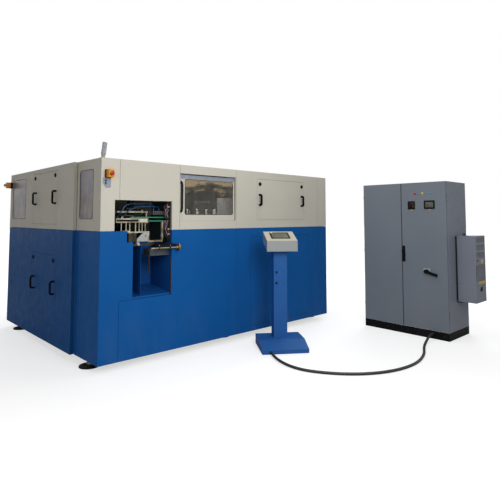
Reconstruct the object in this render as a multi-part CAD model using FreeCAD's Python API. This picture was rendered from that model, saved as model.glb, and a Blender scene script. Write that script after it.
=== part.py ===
import FreeCAD, Part
import math
import os

# Stretch blow moulding machine: panelled moulding unit, operator console
# and control cabinet, joined by one floor cable. Millimetres, +Z up.
# Sizes are written in the machine's own corner frame: X along the long
# front, Y to the back, floor at Z = 0. The last step moves every piece so
# that the origin is the middle of the whole set on the floor.

V = FreeCAD.Vector
AXES = {"x": V(1, 0, 0), "y": V(0, 1, 0), "z": V(0, 0, 1)}

# ---- driving dimensions -------------------------------------------------

# enclosure
LENGTH = 3650.0
WIDTH = 2854.0
BASE_Z = 80.0
SPLIT_Z = 1400.0
TOP_Z = 2145.0
STEP_Y = 580.0            # where the left side steps outwards
PROUD = 40.0              # how far the left side stands out behind the step
SHEET = 2.5
FLANGE = 25.0
SEAM = 3.0                # open joint between two panels

# frame
SECTION = 80.0
WALL = 4.0
RAIL_Z = 85.0
MID_RAIL_Z = 1360.0
TABLE_RAIL_Z = 860.0
BAY_POST_X = 848.0
MID_POST_X = LENGTH - 1050.0
REAR_POST_X = 1800.0
TABLE_THICK = 30.0
TABLE_X0 = 960.0
TABLE_X1 = LENGTH - 150.0

# levelling feet
FOOT_R = 105.0
FOOT_PAD = 22.0
FOOT_STEM_R = 15.0
FOOT_INSET = 299.0

# seams of the front, measured along X
SEAM_CORNER = 205.0
SEAM_HEADER = 948.0
SEAM_MID = 1808.0
SEAM_END = LENGTH - 200.0
SEAM_LOW_CORNER = 215.0

# open bay in the front
BAY_LEFT = 152.0
BAY_STEP_1 = 294.0
BAY_STEP_2 = 366.0
BAY_RIGHT = 845.0
BAY_TOP = 1720.0
BAY_SHELF_Z = 1280.0
BAY_FLOOR_Z = 685.0
BAY_DEPTH = 448.0
CHUTE_FRONT_Z = 706.0
CHUTE_BACK_Z = 762.0
LINER = 3.0

# sliding window door in its recess
RECESS_X0 = 952.0
RECESS_X1 = 1804.0
RECESS_Z0 = 1498.0
RECESS_Z1 = 2045.0
DOOR_Y = 30.0
DOOR_DEPTH = 26.0
DOOR_X0 = 958.0
DOOR_X1 = 1800.0
DOOR_Z0 = 1484.0
DOOR_Z1 = 2040.0
GLASS_X0 = 1038.0
GLASS_X1 = 1773.0
GLASS_Z0 = 1572.0
GLASS_Z1 = 1984.0
GLASS_T = 5.0
RAIL_END_X = MID_POST_X - 25.0
RAIL_LIP_Z = 1985.0
RAIL_Y0 = 26.0
RAIL_Y1 = 62.0
RAIL_WALL = 3.0
WINDOW_R = 32.0

# pull-off covers
COVER_X0 = SEAM_MID + 365.0
COVER_X1 = SEAM_END - 326.0
COVER_Z0 = 1503.0
COVER_Z1 = 2050.0
SIDE_COVER_Y0 = 1045.0
SIDE_COVER_Y1 = 1880.0
SIDE_UP_Z0 = 1458.0
SIDE_UP_Z1 = 2090.0
SIDE_LOW_Z0 = 300.0
SIDE_LOW_Z1 = 1103.0
COVER_LIP = 18.0
COVER_GAP = 3.0

# bolted service panel under the front cover
SERVICE_X0 = SEAM_MID + 243.0
SERVICE_X1 = SEAM_END - 220.0
SERVICE_Z0 = 150.0
SERVICE_Z1 = 1287.0

# side windows
NEAR_WIN = (180.0, 510.0, 1524.0, 2040.0)
FAR_WIN = (WIDTH - 674.0, WIDTH - 124.0, 1520.0, 2055.0)

# bow handles and turn latches
BOW_R = 9.0
BOW_REACH = 42.0
LATCH_R = 20.0
LATCH_HEAD = 9.0
STUD_R = 5.0
TURN_FIT = 0.05
LATCH_IN = 56.0           # from a cover's upright edge to its latch
LATCH_DOWN = 68.0         # from a front cover's upper edge to its latch
SIDE_LATCH_DOWN = 54.0
LOW_LATCH_DOWN = 65.0
HANDLE_IN = 45.0
FRONT_HANDLE_L = 134.0
SIDE_HANDLE_L = 143.0
FRONT_HANDLE_Z = COVER_Z0 + 201.0
SIDE_UP_HANDLE_Z = SIDE_UP_Z0 + 247.0
SIDE_LOW_HANDLE_Z = SIDE_LOW_Z0 + 358.0
WINDOW_HANDLE_L = 338.0
WINDOW_HANDLE_REACH = 30.0
WINDOW_HANDLE_R = 9.5

# emergency stop boxes
STOP_W = 70.0
STOP_H = 85.0
STOP_BASE = 30.0
STOP_BODY = 50.0
STOP_STEM_R = 11.0
STOP_STEM = 22.0
STOP_HEAD_R = 20.0
STOP_HEAD = 16.0
STOP_X = 72.0
STOP_Z = 1984.0
SIDE_STOP_Y = WIDTH - 58.0
SIDE_STOP_Z = 1996.0

# signal tower on the roof corner
TOWER_X = 42.0
TOWER_Y = 60.0
TOWER_R = 25.0
TOWER_BASE_H = 42.0
TOWER_SEGMENT = 36.0
TOWER_LEAN = 7.0

# take-out mechanism in the bay
GUIDE_Y = 150.0
SPINDLE_Y = -50.0
SPINDLE_Z = 1208.0
SPINDLE_R = 8.0
SPINDLE_X0 = 555.0
WHEEL_X = 890.0
WHEEL_R = 41.0
WHEEL_T = 15.0
HOSE_R = 6.0
MOTOR_Z = 1268.0
GUIDE_X0 = 240.0
UPPER_BAR_Z = 1592.0
BAR_T = 16.0
NECK_BAR_Z = 1484.0
NECK_BAR_H = 46.0
JOINT_X0 = 510.0
JOINT_X1 = 622.0
JOINT_Z = 1480.0
SHELF_Z = 1372.0
SHELF_T = 14.0
SHELF_X0 = 380.0
SHELF_X1 = 640.0
LOW_BAR_Z = 1266.0
LOW_BAR_H = 18.0
GUSSET_H = 96.0
UPPER_RAIL_Z = 1534.0
LOWER_RAIL_Z = 1494.0
RAIL_T = 12.0
VALVE_X0 = 690.0
VALVE_Z0 = 1568.0
VALVE_Z1 = 1610.0
PARTITION_X = 470.0
PARTITION_TOP = 1236.0
POCKET_X0 = 606.0
POCKET_Z0 = 1120.0
POCKET_Z1 = 1196.0
ARM_T = 14.0
ARM_SPOTS = (SHELF_X1, SHELF_X1 + 140.0)
TRAY_BAR_Y = 40.0
TRAY_BAR_W = 20.0
TRAY_BAR_H = 22.0
ARM_EYE = 16.0
FRONT_BAR_Z = 1222.0
FRONT_BAR_H = 28.0
FRONT_BAR_OUT = 12.0

# oven wheel and transfer star
OVEN_X = 1750.0
OVEN_Y = 850.0
OVEN_R = 480.0
SPINDLES = 24
STAR_POCKETS = 8
PEDESTAL_Z = 1400.0
OVEN_DISC_Z = 1440.0
CHUCK_R = 10.0
PREFORM_R = 13.5
PREFORM_L = 130.0
DISC_T = 15.0
SPINDLE_H = 60.0
STAR_Z = 1580.0
STAR_T = 12.0
MODULES = (280.0, 320.0, 0.0, 40.0, 80.0, 120.0)
MODULE_IN = 545.0
MODULE_OUT = 680.0
MODULE_W = 240.0
MODULE_TOP = 1790.0
MODULE_CHEEK = 12.0
MODULE_ROOF = 30.0
MODULE_BACK = 60.0
LAMP_STEP = 55.0

# blow clamp
CLAMP_X0 = OVEN_X + MODULE_OUT + 50.0
CLAMP_X1 = TABLE_X1 - 120.0
CLAMP_LENGTH = CLAMP_X1 - CLAMP_X0
CLAMP_Y0 = 760.0
CLAMP_Y1 = 1440.0
CLAMP_TOP = 1700.0
SIDE_PLATE = 50.0
TIE_R = 25.0
TIE_INSET = 80.0
BRIDGE_T = 40.0
MOULD_GAP = CLAMP_LENGTH * 2.0 / 9.0
MOULD_T = CLAMP_LENGTH / 5.0
CAVITY_R = 40.0
CAVITY_PITCH = 220.0
STRETCH_R = 9.0
STRETCH_STROKE = 150.0
CROSSHEAD_T = 30.0

# operator console
CONSOLE_X = 2078.0
CONSOLE_Y = -485.0
CONSOLE_TURN = -35.0
COLUMN_W = 164.0
COLUMN_D = 155.0
CONSOLE_WALL = 3.0
PLINTH_W = 540.0
PLINTH_REAR = 145.0
PLINTH_FRONT = -370.0
PLINTH_BEND = -165.0
PLINTH_H = 111.0
PLINTH_LIP = 46.0
DESK_W = 369.0
DESK_FRONT = -202.0
DESK_REAR = 80.0
DESK_FRONT_Z = 1137.0
DESK_FRONT_TOP = 1262.0
DESK_REAR_Z = 1240.0
DESK_REAR_TOP = 1363.0
SCREEN_W = 222.0

# control cabinet
CAB_X = 3710.0
CAB_Y0 = -1840.0
CAB_Y1 = -640.0
CAB_DEPTH = 602.0
CAB_H = 2000.0
CAB_PLINTH = 100.0
CAB_SHEET = 2.0
CAB_DOOR = 25.0
CAB_SPLIT = -1224.5
CAB_LIP = 30.0
CAB_EDGE = 2.0            # the doors end this far inside the cabinet's sides
HINGE_R = 6.0
HINGE_PIN_R = 3.0
HINGE_OUT = 7.0
HINGE_T = 3.0
HINGE_LEAF = 30.0
HINGE_H = 40.0
HINGE_SPOTS = (CAB_PLINTH + 160.0, CAB_H / 2 + 10.0, CAB_H - 240.0)

# cooling unit on the cabinet side
COOL_X0 = 3940.0
COOL_X1 = 4270.0
COOL_Y = -2090.0
COOL_Z0 = 470.0
COOL_Z1 = 1305.0
GASKET = 20.0
COOL_EYE_Y = CAB_Y0 - 110.0
GRILLE_X0 = COOL_X0 + 45.0
GRILLE_W = 240.0
GRILLE_SPOTS = (736.0, 810.0, 879.0, 1035.0, 1129.0, 1222.0)
GRILLE_ROWS = 5
SLOT_PITCH = 13.0
SLOT_H = 7.0
SLOT_DEPTH = 6.0

# floor cable between cabinet and console
CABLE_R = 15.0
CABLE_FIT = 0.3
GLAND_L = 18.0
GLAND_WALL = 6.0
ENTRY_X = -170.0
ENTRY_Z = 24.0

FRAME_Y0 = FLANGE
FRAME_Y1 = WIDTH - FLANGE
FRAME_X1 = LENGTH - FLANGE
LEFT_FLANGE = PROUD - SEAM
FRAME_X0 = -PROUD + LEFT_FLANGE
NEAR_X0 = FLANGE
FRAME_TOP = TOP_Z - 5.0
TABLE_TOP = TABLE_RAIL_Z + SECTION + TABLE_THICK
HALF = SEAM / 2.0
CAB_X1 = CAB_X + CAB_DEPTH
STOP_REACH = STOP_BASE + STOP_BODY + STOP_STEM - 8.0 + STOP_HEAD

# the set's own box gives the shift to the shared origin
SET_X0 = -PROUD - STOP_REACH
SET_Y0 = COOL_Y
SHIFT = V(-(SET_X0 + CAB_X1) / 2.0, -(SET_Y0 + WIDTH) / 2.0, 0.0)


# ---- small tools --------------------------------------------------------

def box(x0, x1, y0, y1, z0, z1):
    """Block between two corners."""
    return Part.makeBox(x1 - x0, y1 - y0, z1 - z0, V(x0, y0, z0))


def direction(axis):
    """Vector of a named axis; a vector is returned as it is."""
    return AXES[axis] if isinstance(axis, str) else axis


def rod(start, axis, radius, length):
    """Round bar from a start point along an axis."""
    return Part.makeCylinder(radius, length, V(*start), direction(axis))


def spot(normal, at, a, b):
    """Point of a drawing plane that stands across the named axis."""
    if normal == "x":
        return V(at, a, b)
    if normal == "y":
        return V(a, at, b)
    return V(a, b, at)


def prism(points, normal, at, depth):
    """Outline drawn across an axis and extruded along it."""
    corners = [spot(normal, at, a, b) for a, b in points]
    face = Part.Face(Part.makePolygon(corners + corners[:1]))
    return face.extrude(AXES[normal] * depth)


def oblong(a0, a1, b0, b1):
    """Corner list of a rectangle."""
    return [(a0, b0), (a1, b0), (a1, b1), (a0, b1)]


def soften(solid, normal, radius):
    """Round every straight edge that runs along the named axis."""
    axis = AXES[normal]
    edges = []
    for edge in solid.Edges:
        run = edge.Vertexes[-1].Point - edge.Vertexes[0].Point
        if run.Length > 0.01 and abs(run.dot(axis)) > 0.999 * run.Length:
            edges.append(edge)
    return solid.makeFillet(radius, edges)


def pane(rect, normal, at, depth, radius):
    """Rectangular plate with round corners."""
    return soften(prism(oblong(*rect), normal, at, depth), normal, radius)


def shrunk(points, normal, at, depth, amount):
    """Prism of an outline drawn in by a sheet thickness."""
    corners = [spot(normal, at, a, b) for a, b in points]
    face = Part.Face(Part.makePolygon(corners + corners[:1]))
    return face.makeOffset2D(-amount, 2).extrude(AXES[normal] * depth)


def tray(points, normal, face_at, depth, sheet=SHEET):
    """Folded panel: a face with a return flange along its whole edge."""
    way = 1.0 if depth > 0 else -1.0
    outer = prism(points, normal, face_at, depth)
    inner = shrunk(points, normal, face_at + way * sheet, depth, sheet)
    return outer.cut(inner)


def rebate(rect, normal, face_at, depth):
    """Folded edge round a cover opening, with the lip the cover lies on."""
    a0, a1, b0, b1 = rect
    way = 1.0 if depth > 0 else -1.0
    grown = oblong(a0 - SHEET, a1 + SHEET, b0 - SHEET, b1 + SHEET)
    inner = oblong(a0 + COVER_LIP, a1 - COVER_LIP, b0 + COVER_LIP, b1 - COVER_LIP)
    ring = prism(grown, normal, face_at, depth)
    ring = ring.cut(prism(oblong(*rect), normal, face_at, depth - way * SHEET))
    return ring.cut(prism(inner, normal, face_at, depth))


def open_for_cover(panel, rect, normal, face_at, depth):
    """Cut a cover opening in a panel and fold its edge back."""
    panel = panel.cut(prism(oblong(*rect), normal, face_at, depth))
    return panel.fuse(rebate(rect, normal, face_at, depth)).removeSplitter()


def group(solids):
    """Several pieces kept as separate solids in one node."""
    parts = []
    for solid in solids:
        parts.extend(solid.Solids)
    return Part.makeCompound(parts)


def joined(solids):
    """Several overlapping forms made into one piece."""
    first = solids[0]
    return first.multiFuse(solids[1:]).removeSplitter()


def square_tube(x0, x1, y0, y1, z0, z1, run):
    """Square hollow section along the named axis."""
    outer = box(x0, x1, y0, y1, z0, z1)
    dx = 0.0 if run == "x" else WALL
    dy = 0.0 if run == "y" else WALL
    dz = 0.0 if run == "z" else WALL
    return outer.cut(box(x0 + dx, x1 - dx, y0 + dy, y1 - dy, z0 + dz, z1 - dz))


def bow_handle(foot, along, out, length, reach=BOW_REACH, radius=BOW_R):
    """Round bar bent into a bow with two legs, standing on a face."""
    bend = 2.2 * radius
    a = V(*foot)
    along = AXES[along]
    b = a + along * length
    rise = out * (reach - bend)
    top_a = a + out * reach + along * bend
    top_b = b + out * reach - along * bend
    knee = bend * (1.0 - math.sqrt(0.5))
    mid_a = a + out * (reach - knee) + along * knee
    mid_b = b + out * (reach - knee) - along * knee
    path = Part.Wire([
        Part.makeLine(a, a + rise),
        Part.Arc(a + rise, mid_a, top_a).toShape(),
        Part.makeLine(top_a, top_b),
        Part.Arc(top_b, mid_b, b + rise).toShape(),
        Part.makeLine(b + rise, b)])
    ring = Part.Wire(Part.makeCircle(radius, a, out))
    return path.makePipeShell([ring], True, False)


def turned(profile, origin, axis="z"):
    """Solid of revolution from (radius, height) points about an axis."""
    points = [V(r, 0, h) for r, h in profile]
    face = Part.Face(Part.makePolygon(points + points[:1]))
    body = face.revolve(V(0, 0, 0), V(0, 0, 1), 360)
    turn = FreeCAD.Rotation(V(0, 0, 1), direction(axis))
    body.Placement = FreeCAD.Placement(V(*origin), turn)
    return body


def round_pattern(shape, centre, count, first=0.0):
    """Copies of a shape spaced evenly about an upright axis."""
    copies = []
    for index in range(count):
        copy = shape.copy()
        copy.rotate(centre, AXES["z"], first + index * 360.0 / count)
        copies.append(copy)
    return copies


# ---- frame, feet and table ---------------------------------------------

def ring_rails(z):
    """One ring of rails following the left step, with a beam across its middle."""
    s = SECTION
    top = z + s
    return [
        square_tube(NEAR_X0, FRAME_X1, FRAME_Y0, FRAME_Y0 + s, z, top, "x"),
        square_tube(NEAR_X0, NEAR_X0 + s, FRAME_Y0 + s, STEP_Y + 5, z, top, "y"),
        square_tube(FRAME_X0, FRAME_X0 + s, STEP_Y + 5, FRAME_Y1, z, top, "y"),
        square_tube(FRAME_X0 + s, FRAME_X1, FRAME_Y1 - s, FRAME_Y1, z, top, "x"),
        square_tube(FRAME_X1 - s, FRAME_X1, FRAME_Y0 + s, FRAME_Y1 - s, z, top, "y"),
        square_tube(REAR_POST_X, REAR_POST_X + s, FRAME_Y0 + s, FRAME_Y1 - s, z, top, "y")]


def posts():
    """Upright tubes between the lower and the upper ring."""
    s = SECTION
    low = RAIL_Z + s
    high = FRAME_TOP - s
    feet = [
        (NEAR_X0, FRAME_Y0), (FRAME_X0, STEP_Y + 5), (FRAME_X0, FRAME_Y1 - s),
        (FRAME_X1 - s, FRAME_Y1 - s), (FRAME_X1 - s, FRAME_Y0),
        (BAY_POST_X, FRAME_Y0), (MID_POST_X, FRAME_Y0), (REAR_POST_X, FRAME_Y1 - s)]
    return [square_tube(x, x + s, y, y + s, low, high, "z") for x, y in feet]


def middle_rails():
    """Rails behind the colour split, between the posts."""
    s = SECTION
    z0, z1 = MID_RAIL_Z, MID_RAIL_Z + s
    back = FRAME_Y1 - s
    return [
        square_tube(BAY_POST_X + s, MID_POST_X, FRAME_Y0, FRAME_Y0 + s, z0, z1, "x"),
        square_tube(MID_POST_X + s, FRAME_X1 - s, FRAME_Y0, FRAME_Y0 + s, z0, z1, "x"),
        square_tube(FRAME_X0, FRAME_X0 + s, STEP_Y + 5 + s, back, z0, z1, "y"),
        square_tube(FRAME_X0 + s, REAR_POST_X, back, FRAME_Y1, z0, z1, "x"),
        square_tube(REAR_POST_X + s, FRAME_X1 - s, back, FRAME_Y1, z0, z1, "x"),
        square_tube(FRAME_X1 - s, FRAME_X1, FRAME_Y0 + s, back, z0, z1, "y")]


def table_rails():
    """Ledge rails and cross beams that carry the machine table."""
    s = SECTION
    z0, z1 = TABLE_RAIL_Z, TABLE_RAIL_Z + s
    back = FRAME_Y1 - s
    rails = [
        square_tube(BAY_POST_X + s, MID_POST_X, FRAME_Y0, FRAME_Y0 + s, z0, z1, "x"),
        square_tube(MID_POST_X + s, FRAME_X1 - s, FRAME_Y0, FRAME_Y0 + s, z0, z1, "x"),
        square_tube(FRAME_X0 + s, REAR_POST_X, back, FRAME_Y1, z0, z1, "x"),
        square_tube(REAR_POST_X + s, FRAME_X1 - s, back, FRAME_Y1, z0, z1, "x")]
    for x in (TABLE_X0 + 40, (TABLE_X0 + TABLE_X1) / 2, TABLE_X1 - 40 - s):
        rails.append(square_tube(x, x + s, FRAME_Y0 + s, back, z0, z1, "y"))
    return rails


def main_frame():
    """Welded frame drawn as its single tubes."""
    return group(ring_rails(RAIL_Z) + ring_rails(FRAME_TOP - SECTION)
                 + posts() + middle_rails() + table_rails())


def levelling_feet():
    """Round pads on threaded stems under the frame."""
    pad = [(0, 0), (FOOT_R, 0), (FOOT_R, FOOT_PAD * 0.6), (FOOT_R * 0.7, FOOT_PAD),
           (FOOT_STEM_R * 2, FOOT_PAD), (FOOT_STEM_R * 2, FOOT_PAD * 1.8),
           (FOOT_STEM_R, FOOT_PAD * 1.8), (FOOT_STEM_R, RAIL_Z), (0, RAIL_Z)]
    feet = []
    for y in (FRAME_Y0 + FOOT_INSET, FRAME_Y1 - FOOT_INSET):
        for x in (NEAR_X0 + SECTION / 2, REAR_POST_X + SECTION / 2, FRAME_X1 - SECTION / 2):
            feet.append(turned(pad, (x, y, 0)))
    return group(feet)


def pedestal(x, y, top, radius, pin_r, pin_top):
    """Column with a flanged foot and a bearing pin on top."""
    z = TABLE_TOP
    profile = [(0, z), (radius * 1.5, z), (radius * 1.5, z + 25), (radius, z + 25),
               (radius, top), (pin_r, top), (pin_r, pin_top), (0, pin_top)]
    return turned(profile, (x, y, 0))


def machine_table():
    """Table plate with the oven column and the star column."""
    plate = box(TABLE_X0, TABLE_X1, FRAME_Y0 + SECTION + 5, FRAME_Y1 - SECTION - 5,
                TABLE_TOP - TABLE_THICK, TABLE_TOP)
    oven = pedestal(OVEN_X, OVEN_Y, PEDESTAL_Z, 110.0, 40.0, OVEN_DISC_Z + 70)
    star = pedestal(star_x(), OVEN_Y, STAR_Z - 40, 45.0, 20.0, STAR_Z + STAR_T + 10)
    return group([plate, oven, star])


# ---- panels -------------------------------------------------------------

def corner_fold(front_outline, side_outline):
    """Corner panel: one sheet folded round the near left edge."""
    front = tray(front_outline, "y", 0.0, FLANGE)
    side = tray(side_outline, "x", 0.0, FLANGE)
    z0 = min(b for a, b in front_outline) + SHEET
    z1 = max(b for a, b in front_outline) - SHEET
    both = front.fuse(side)
    clear = box(SHEET, FLANGE + 1, SHEET, FLANGE + 1, z0, z1)
    return both.cut(clear).removeSplitter()


def front_corner_panel_upper():
    """Beige corner with the side window and the left edge of the bay."""
    z0, z1 = SPLIT_Z + HALF, TOP_Z
    right = SEAM_CORNER - HALF
    front = [(0, z0), (BAY_LEFT, z0), (BAY_LEFT, BAY_TOP), (right, BAY_TOP), (right, z1), (0, z1)]
    panel = corner_fold(front, oblong(0, STEP_Y - HALF, z0, z1))
    return panel.cut(pane(NEAR_WIN, "x", -1, SHEET + 2, WINDOW_R))


def front_header_panel():
    """Beige panel over the bay, reaching down its right side."""
    z0, z1 = SPLIT_Z + HALF, TOP_Z
    left, right = SEAM_CORNER + HALF, SEAM_HEADER - HALF
    outline = [(BAY_RIGHT, z0), (right, z0), (right, z1), (left, z1), (left, BAY_TOP), (BAY_RIGHT, BAY_TOP)]
    return tray(outline, "y", 0.0, FLANGE)


def front_window_panel():
    """Beige frame round the recess of the sliding window door."""
    outline = oblong(SEAM_HEADER + HALF, SEAM_MID - HALF, SPLIT_Z + HALF, TOP_Z)
    panel = tray(outline, "y", 0.0, FLANGE)
    hole = oblong(RECESS_X0, RECESS_X1, RECESS_Z0, RECESS_Z1)
    sill = box(RECESS_X0, RECESS_X1, 0, FLANGE, RECESS_Z0 - SHEET, RECESS_Z0)
    head = box(RECESS_X0, RECESS_X1, 0, FLANGE, RECESS_Z1, RECESS_Z1 + SHEET)
    return panel.cut(prism(hole, "y", -1, FLANGE)).fuse([sill, head]).removeSplitter()


def front_cover_panel():
    """Beige panel with the opening of the front cover."""
    outline = oblong(SEAM_MID + HALF, SEAM_END - HALF, SPLIT_Z + HALF, TOP_Z)
    panel = tray(outline, "y", 0.0, FLANGE)
    return open_for_cover(panel, (COVER_X0, COVER_X1, COVER_Z0, COVER_Z1), "y", 0.0, FLANGE)


def front_corner_panel_lower():
    """Blue corner that forms the stepped left edge of the bay."""
    z0, z1 = BASE_Z, SPLIT_Z - HALF
    low = SEAM_LOW_CORNER - HALF
    floor = BAY_FLOOR_Z + HALF
    front = [(0, z0), (low, z0), (low, floor), (BAY_STEP_2, floor), (BAY_STEP_2, BAY_SHELF_Z),
             (BAY_STEP_1, BAY_SHELF_Z), (BAY_STEP_1, z1), (0, z1)]
    return corner_fold(front, oblong(0, STEP_Y - HALF, z0, z1))


def front_bay_panel():
    """Blue panel under and beside the bay."""
    left, right = SEAM_LOW_CORNER + HALF, SEAM_MID - HALF
    top = SPLIT_Z - HALF
    floor = BAY_FLOOR_Z - HALF
    outline = [(left, BASE_Z), (right, BASE_Z), (right, top), (BAY_RIGHT, top), (BAY_RIGHT, floor), (left, floor)]
    return tray(outline, "y", 0.0, FLANGE)


def front_service_panels():
    """Blue surround and the bolted service panel in it."""
    outline = oblong(SEAM_MID + HALF, SEAM_END - HALF, BASE_Z, SPLIT_Z - HALF)
    rect = (SERVICE_X0, SERVICE_X1, SERVICE_Z0, SERVICE_Z1)
    surround = open_for_cover(tray(outline, "y", 0.0, FLANGE), rect, "y", 0.0, FLANGE)
    g = COVER_GAP
    inner = oblong(SERVICE_X0 + g, SERVICE_X1 - g, SERVICE_Z0 + g, SERVICE_Z1 - g)
    return group([surround, tray(inner, "y", 0.0, FLANGE - SHEET)])


def left_panel(z0, z1, cover):
    """Panel of the proud left side with one cover opening."""
    outline = oblong(STEP_Y + HALF, WIDTH, z0, z1)
    panel = tray(outline, "x", -PROUD, LEFT_FLANGE)
    return open_for_cover(panel, cover, "x", -PROUD, FLANGE)


def left_panel_upper():
    """Beige left side with the far window."""
    cover = (SIDE_COVER_Y0, SIDE_COVER_Y1, SIDE_UP_Z0, SIDE_UP_Z1)
    panel = left_panel(SPLIT_Z + HALF, TOP_Z, cover)
    return panel.cut(pane(FAR_WIN, "x", -PROUD - 1, SHEET + 2, WINDOW_R))


def left_panel_lower():
    """Blue left side."""
    cover = (SIDE_COVER_Y0, SIDE_COVER_Y1, SIDE_LOW_Z0, SIDE_LOW_Z1)
    return left_panel(BASE_Z, SPLIT_Z - HALF, cover)


def end_fold(z0, z1):
    """Panel folded round the right front edge."""
    front = tray(oblong(SEAM_END + HALF, LENGTH, z0, z1), "y", 0.0, FLANGE)
    side = tray(oblong(0, WIDTH / 2 - HALF, z0, z1), "x", LENGTH, -FLANGE)
    clear = box(LENGTH - FLANGE - 1, LENGTH - SHEET, SHEET, FLANGE + 1, z0 + SHEET, z1 - SHEET)
    return front.fuse(side).cut(clear).removeSplitter()


def back_panels(z0, z1):
    """Plain panels of the right end and the back at one height."""
    end = tray(oblong(WIDTH / 2 + HALF, WIDTH - FLANGE - HALF, z0, z1), "x", LENGTH, -FLANGE)
    panels = [end_fold(z0, z1), end]
    left = -PROUD + LEFT_FLANGE + SEAM
    step = (LENGTH - left) / 3.0
    for index in range(3):
        a = left + step * index + HALF
        b = left + step * (index + 1) - HALF
        if index == 2:
            b = LENGTH
        panels.append(tray(oblong(a, b, z0, z1), "y", WIDTH, -FLANGE))
    return panels


def roof_plates():
    """Flat roof sheets lying on the upper ring."""
    z0, z1 = FRAME_TOP, TOP_Z - 1
    inset = FLANGE + 2
    left = FRAME_X0 + 2
    back = WIDTH - inset
    mid = LENGTH / 2
    first = [(inset, inset), (mid - HALF, inset), (mid - HALF, back), (left, back),
             (left, STEP_Y + 5), (inset, STEP_Y + 5)]
    second = oblong(mid + HALF, LENGTH - inset, inset, back)
    return [prism(first, "z", z0, z1 - z0), prism(second, "z", z0, z1 - z0)]


def rear_panels_upper():
    """Beige right end, back and roof."""
    return group(back_panels(SPLIT_Z + HALF, TOP_Z) + roof_plates())


def rear_panels_lower():
    """Blue right end and back."""
    return group(back_panels(BASE_Z, SPLIT_Z - HALF))


def side_windows():
    """Panes behind the two windows of the left side."""
    edge = 22.0
    near = (NEAR_WIN[0] - edge, NEAR_WIN[1] + edge, NEAR_WIN[2] - edge, NEAR_WIN[3] + edge)
    far = (FAR_WIN[0] - edge, FAR_WIN[1] + edge, FAR_WIN[2] - edge, FAR_WIN[3] + edge)
    return group([pane(near, "x", SHEET, GLASS_T, WINDOW_R),
                  pane(far, "x", -PROUD + SHEET, GLASS_T, WINDOW_R)])


# ---- sliding window door ------------------------------------------------

def door_rail():
    """Upper and lower channel in which the window door slides."""
    x0, x1 = RECESS_X0, RAIL_END_X
    w = RAIL_WALL
    y0, y1 = RAIL_Y0 + w, RAIL_Y1 - w
    top = box(x0, x1, RAIL_Y0, RAIL_Y1, RAIL_LIP_Z, FRAME_TOP - SECTION)
    top = top.cut(box(x0 - 1, x1 - w, y0, y1, RAIL_LIP_Z - 1, FRAME_TOP - SECTION - w))
    low = box(x0, x1, RAIL_Y0, RAIL_Y1, MID_RAIL_Z + SECTION, RECESS_Z0 + 2)
    low = low.cut(box(x0 - 1, x1 - w, y0, y1, DOOR_Z0, RECESS_Z0 + 3))
    return group([top, low])


def window_door():
    """Door frame of the sliding window, with round glass corners."""
    door = tray(oblong(DOOR_X0, DOOR_X1, DOOR_Z0, DOOR_Z1), "y", DOOR_Y, DOOR_DEPTH)
    return door.cut(pane((GLASS_X0, GLASS_X1, GLASS_Z0, GLASS_Z1), "y", DOOR_Y - 1, SHEET + 2, WINDOW_R))


def window_glass():
    """Clear pane behind the door frame."""
    edge = 20.0
    rect = (GLASS_X0 - edge, GLASS_X1 + edge, GLASS_Z0 - edge, GLASS_Z1 + edge)
    return pane(rect, "y", DOOR_Y + SHEET, GLASS_T, WINDOW_R)


def window_handle():
    """Tall bow handle on the door frame."""
    foot = (DOOR_X0 + 22.0, DOOR_Y, GLASS_Z0 + 36.0)
    return bow_handle(foot, "z", V(0, -1, 0), WINDOW_HANDLE_L, WINDOW_HANDLE_REACH, WINDOW_HANDLE_R)


# ---- pull-off covers ----------------------------------------------------

def front_latch_spots():
    """Centres of the two latches of the front cover."""
    z = COVER_Z1 - LATCH_DOWN
    return [(COVER_X0 + LATCH_IN, 0.0, z), (COVER_X1 - HANDLE_IN, 0.0, z)]


def side_latch_spots(z):
    """Centres of the two latches of a side cover."""
    return [(-PROUD, SIDE_COVER_Y0 + 81.0, z), (-PROUD, SIDE_COVER_Y1 - 70.0, z)]


def cover(rect, normal, face_at, depth, latches):
    """Pull-off cover: folded tray with latch holes."""
    g = COVER_GAP
    outline = oblong(rect[0] + g, rect[1] - g, rect[2] + g, rect[3] - g)
    body = tray(outline, normal, face_at, depth)
    for point in latches:
        start = V(*point) - AXES[normal]
        body = body.cut(rod((start.x, start.y, start.z), normal, STUD_R + TURN_FIT, SHEET + 2))
    return body


def front_cover():
    """Front cover with its two bow handles."""
    body = cover((COVER_X0, COVER_X1, COVER_Z0, COVER_Z1), "y", 0.0, FLANGE - SHEET, front_latch_spots())
    handles = []
    for x in (COVER_X0 + HANDLE_IN, COVER_X1 - HANDLE_IN - 9.0):
        handles.append(bow_handle((x, 0, FRONT_HANDLE_Z), "z", V(0, -1, 0), FRONT_HANDLE_L))
    return group([body] + handles)


def side_cover(z0, z1, latch_z, handle_z):
    """Side cover with its two bow handles."""
    rect = (SIDE_COVER_Y0, SIDE_COVER_Y1, z0, z1)
    body = cover(rect, "x", -PROUD, FLANGE - SHEET, side_latch_spots(latch_z))
    handles = []
    for y in (SIDE_COVER_Y0 + HANDLE_IN + 4.0, SIDE_COVER_Y1 - HANDLE_IN - 72.0):
        handles.append(bow_handle((-PROUD, y, handle_z), "z", V(-1, 0, 0), SIDE_HANDLE_L))
    return group([body] + handles)


def side_cover_upper():
    """Beige cover of the left side."""
    return side_cover(SIDE_UP_Z0, SIDE_UP_Z1, SIDE_UP_Z1 - SIDE_LATCH_DOWN, SIDE_UP_HANDLE_Z)


def side_cover_lower():
    """Blue cover of the left side."""
    return side_cover(SIDE_LOW_Z0, SIDE_LOW_Z1, SIDE_LOW_Z1 - LOW_LATCH_DOWN, SIDE_LOW_HANDLE_Z)


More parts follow.
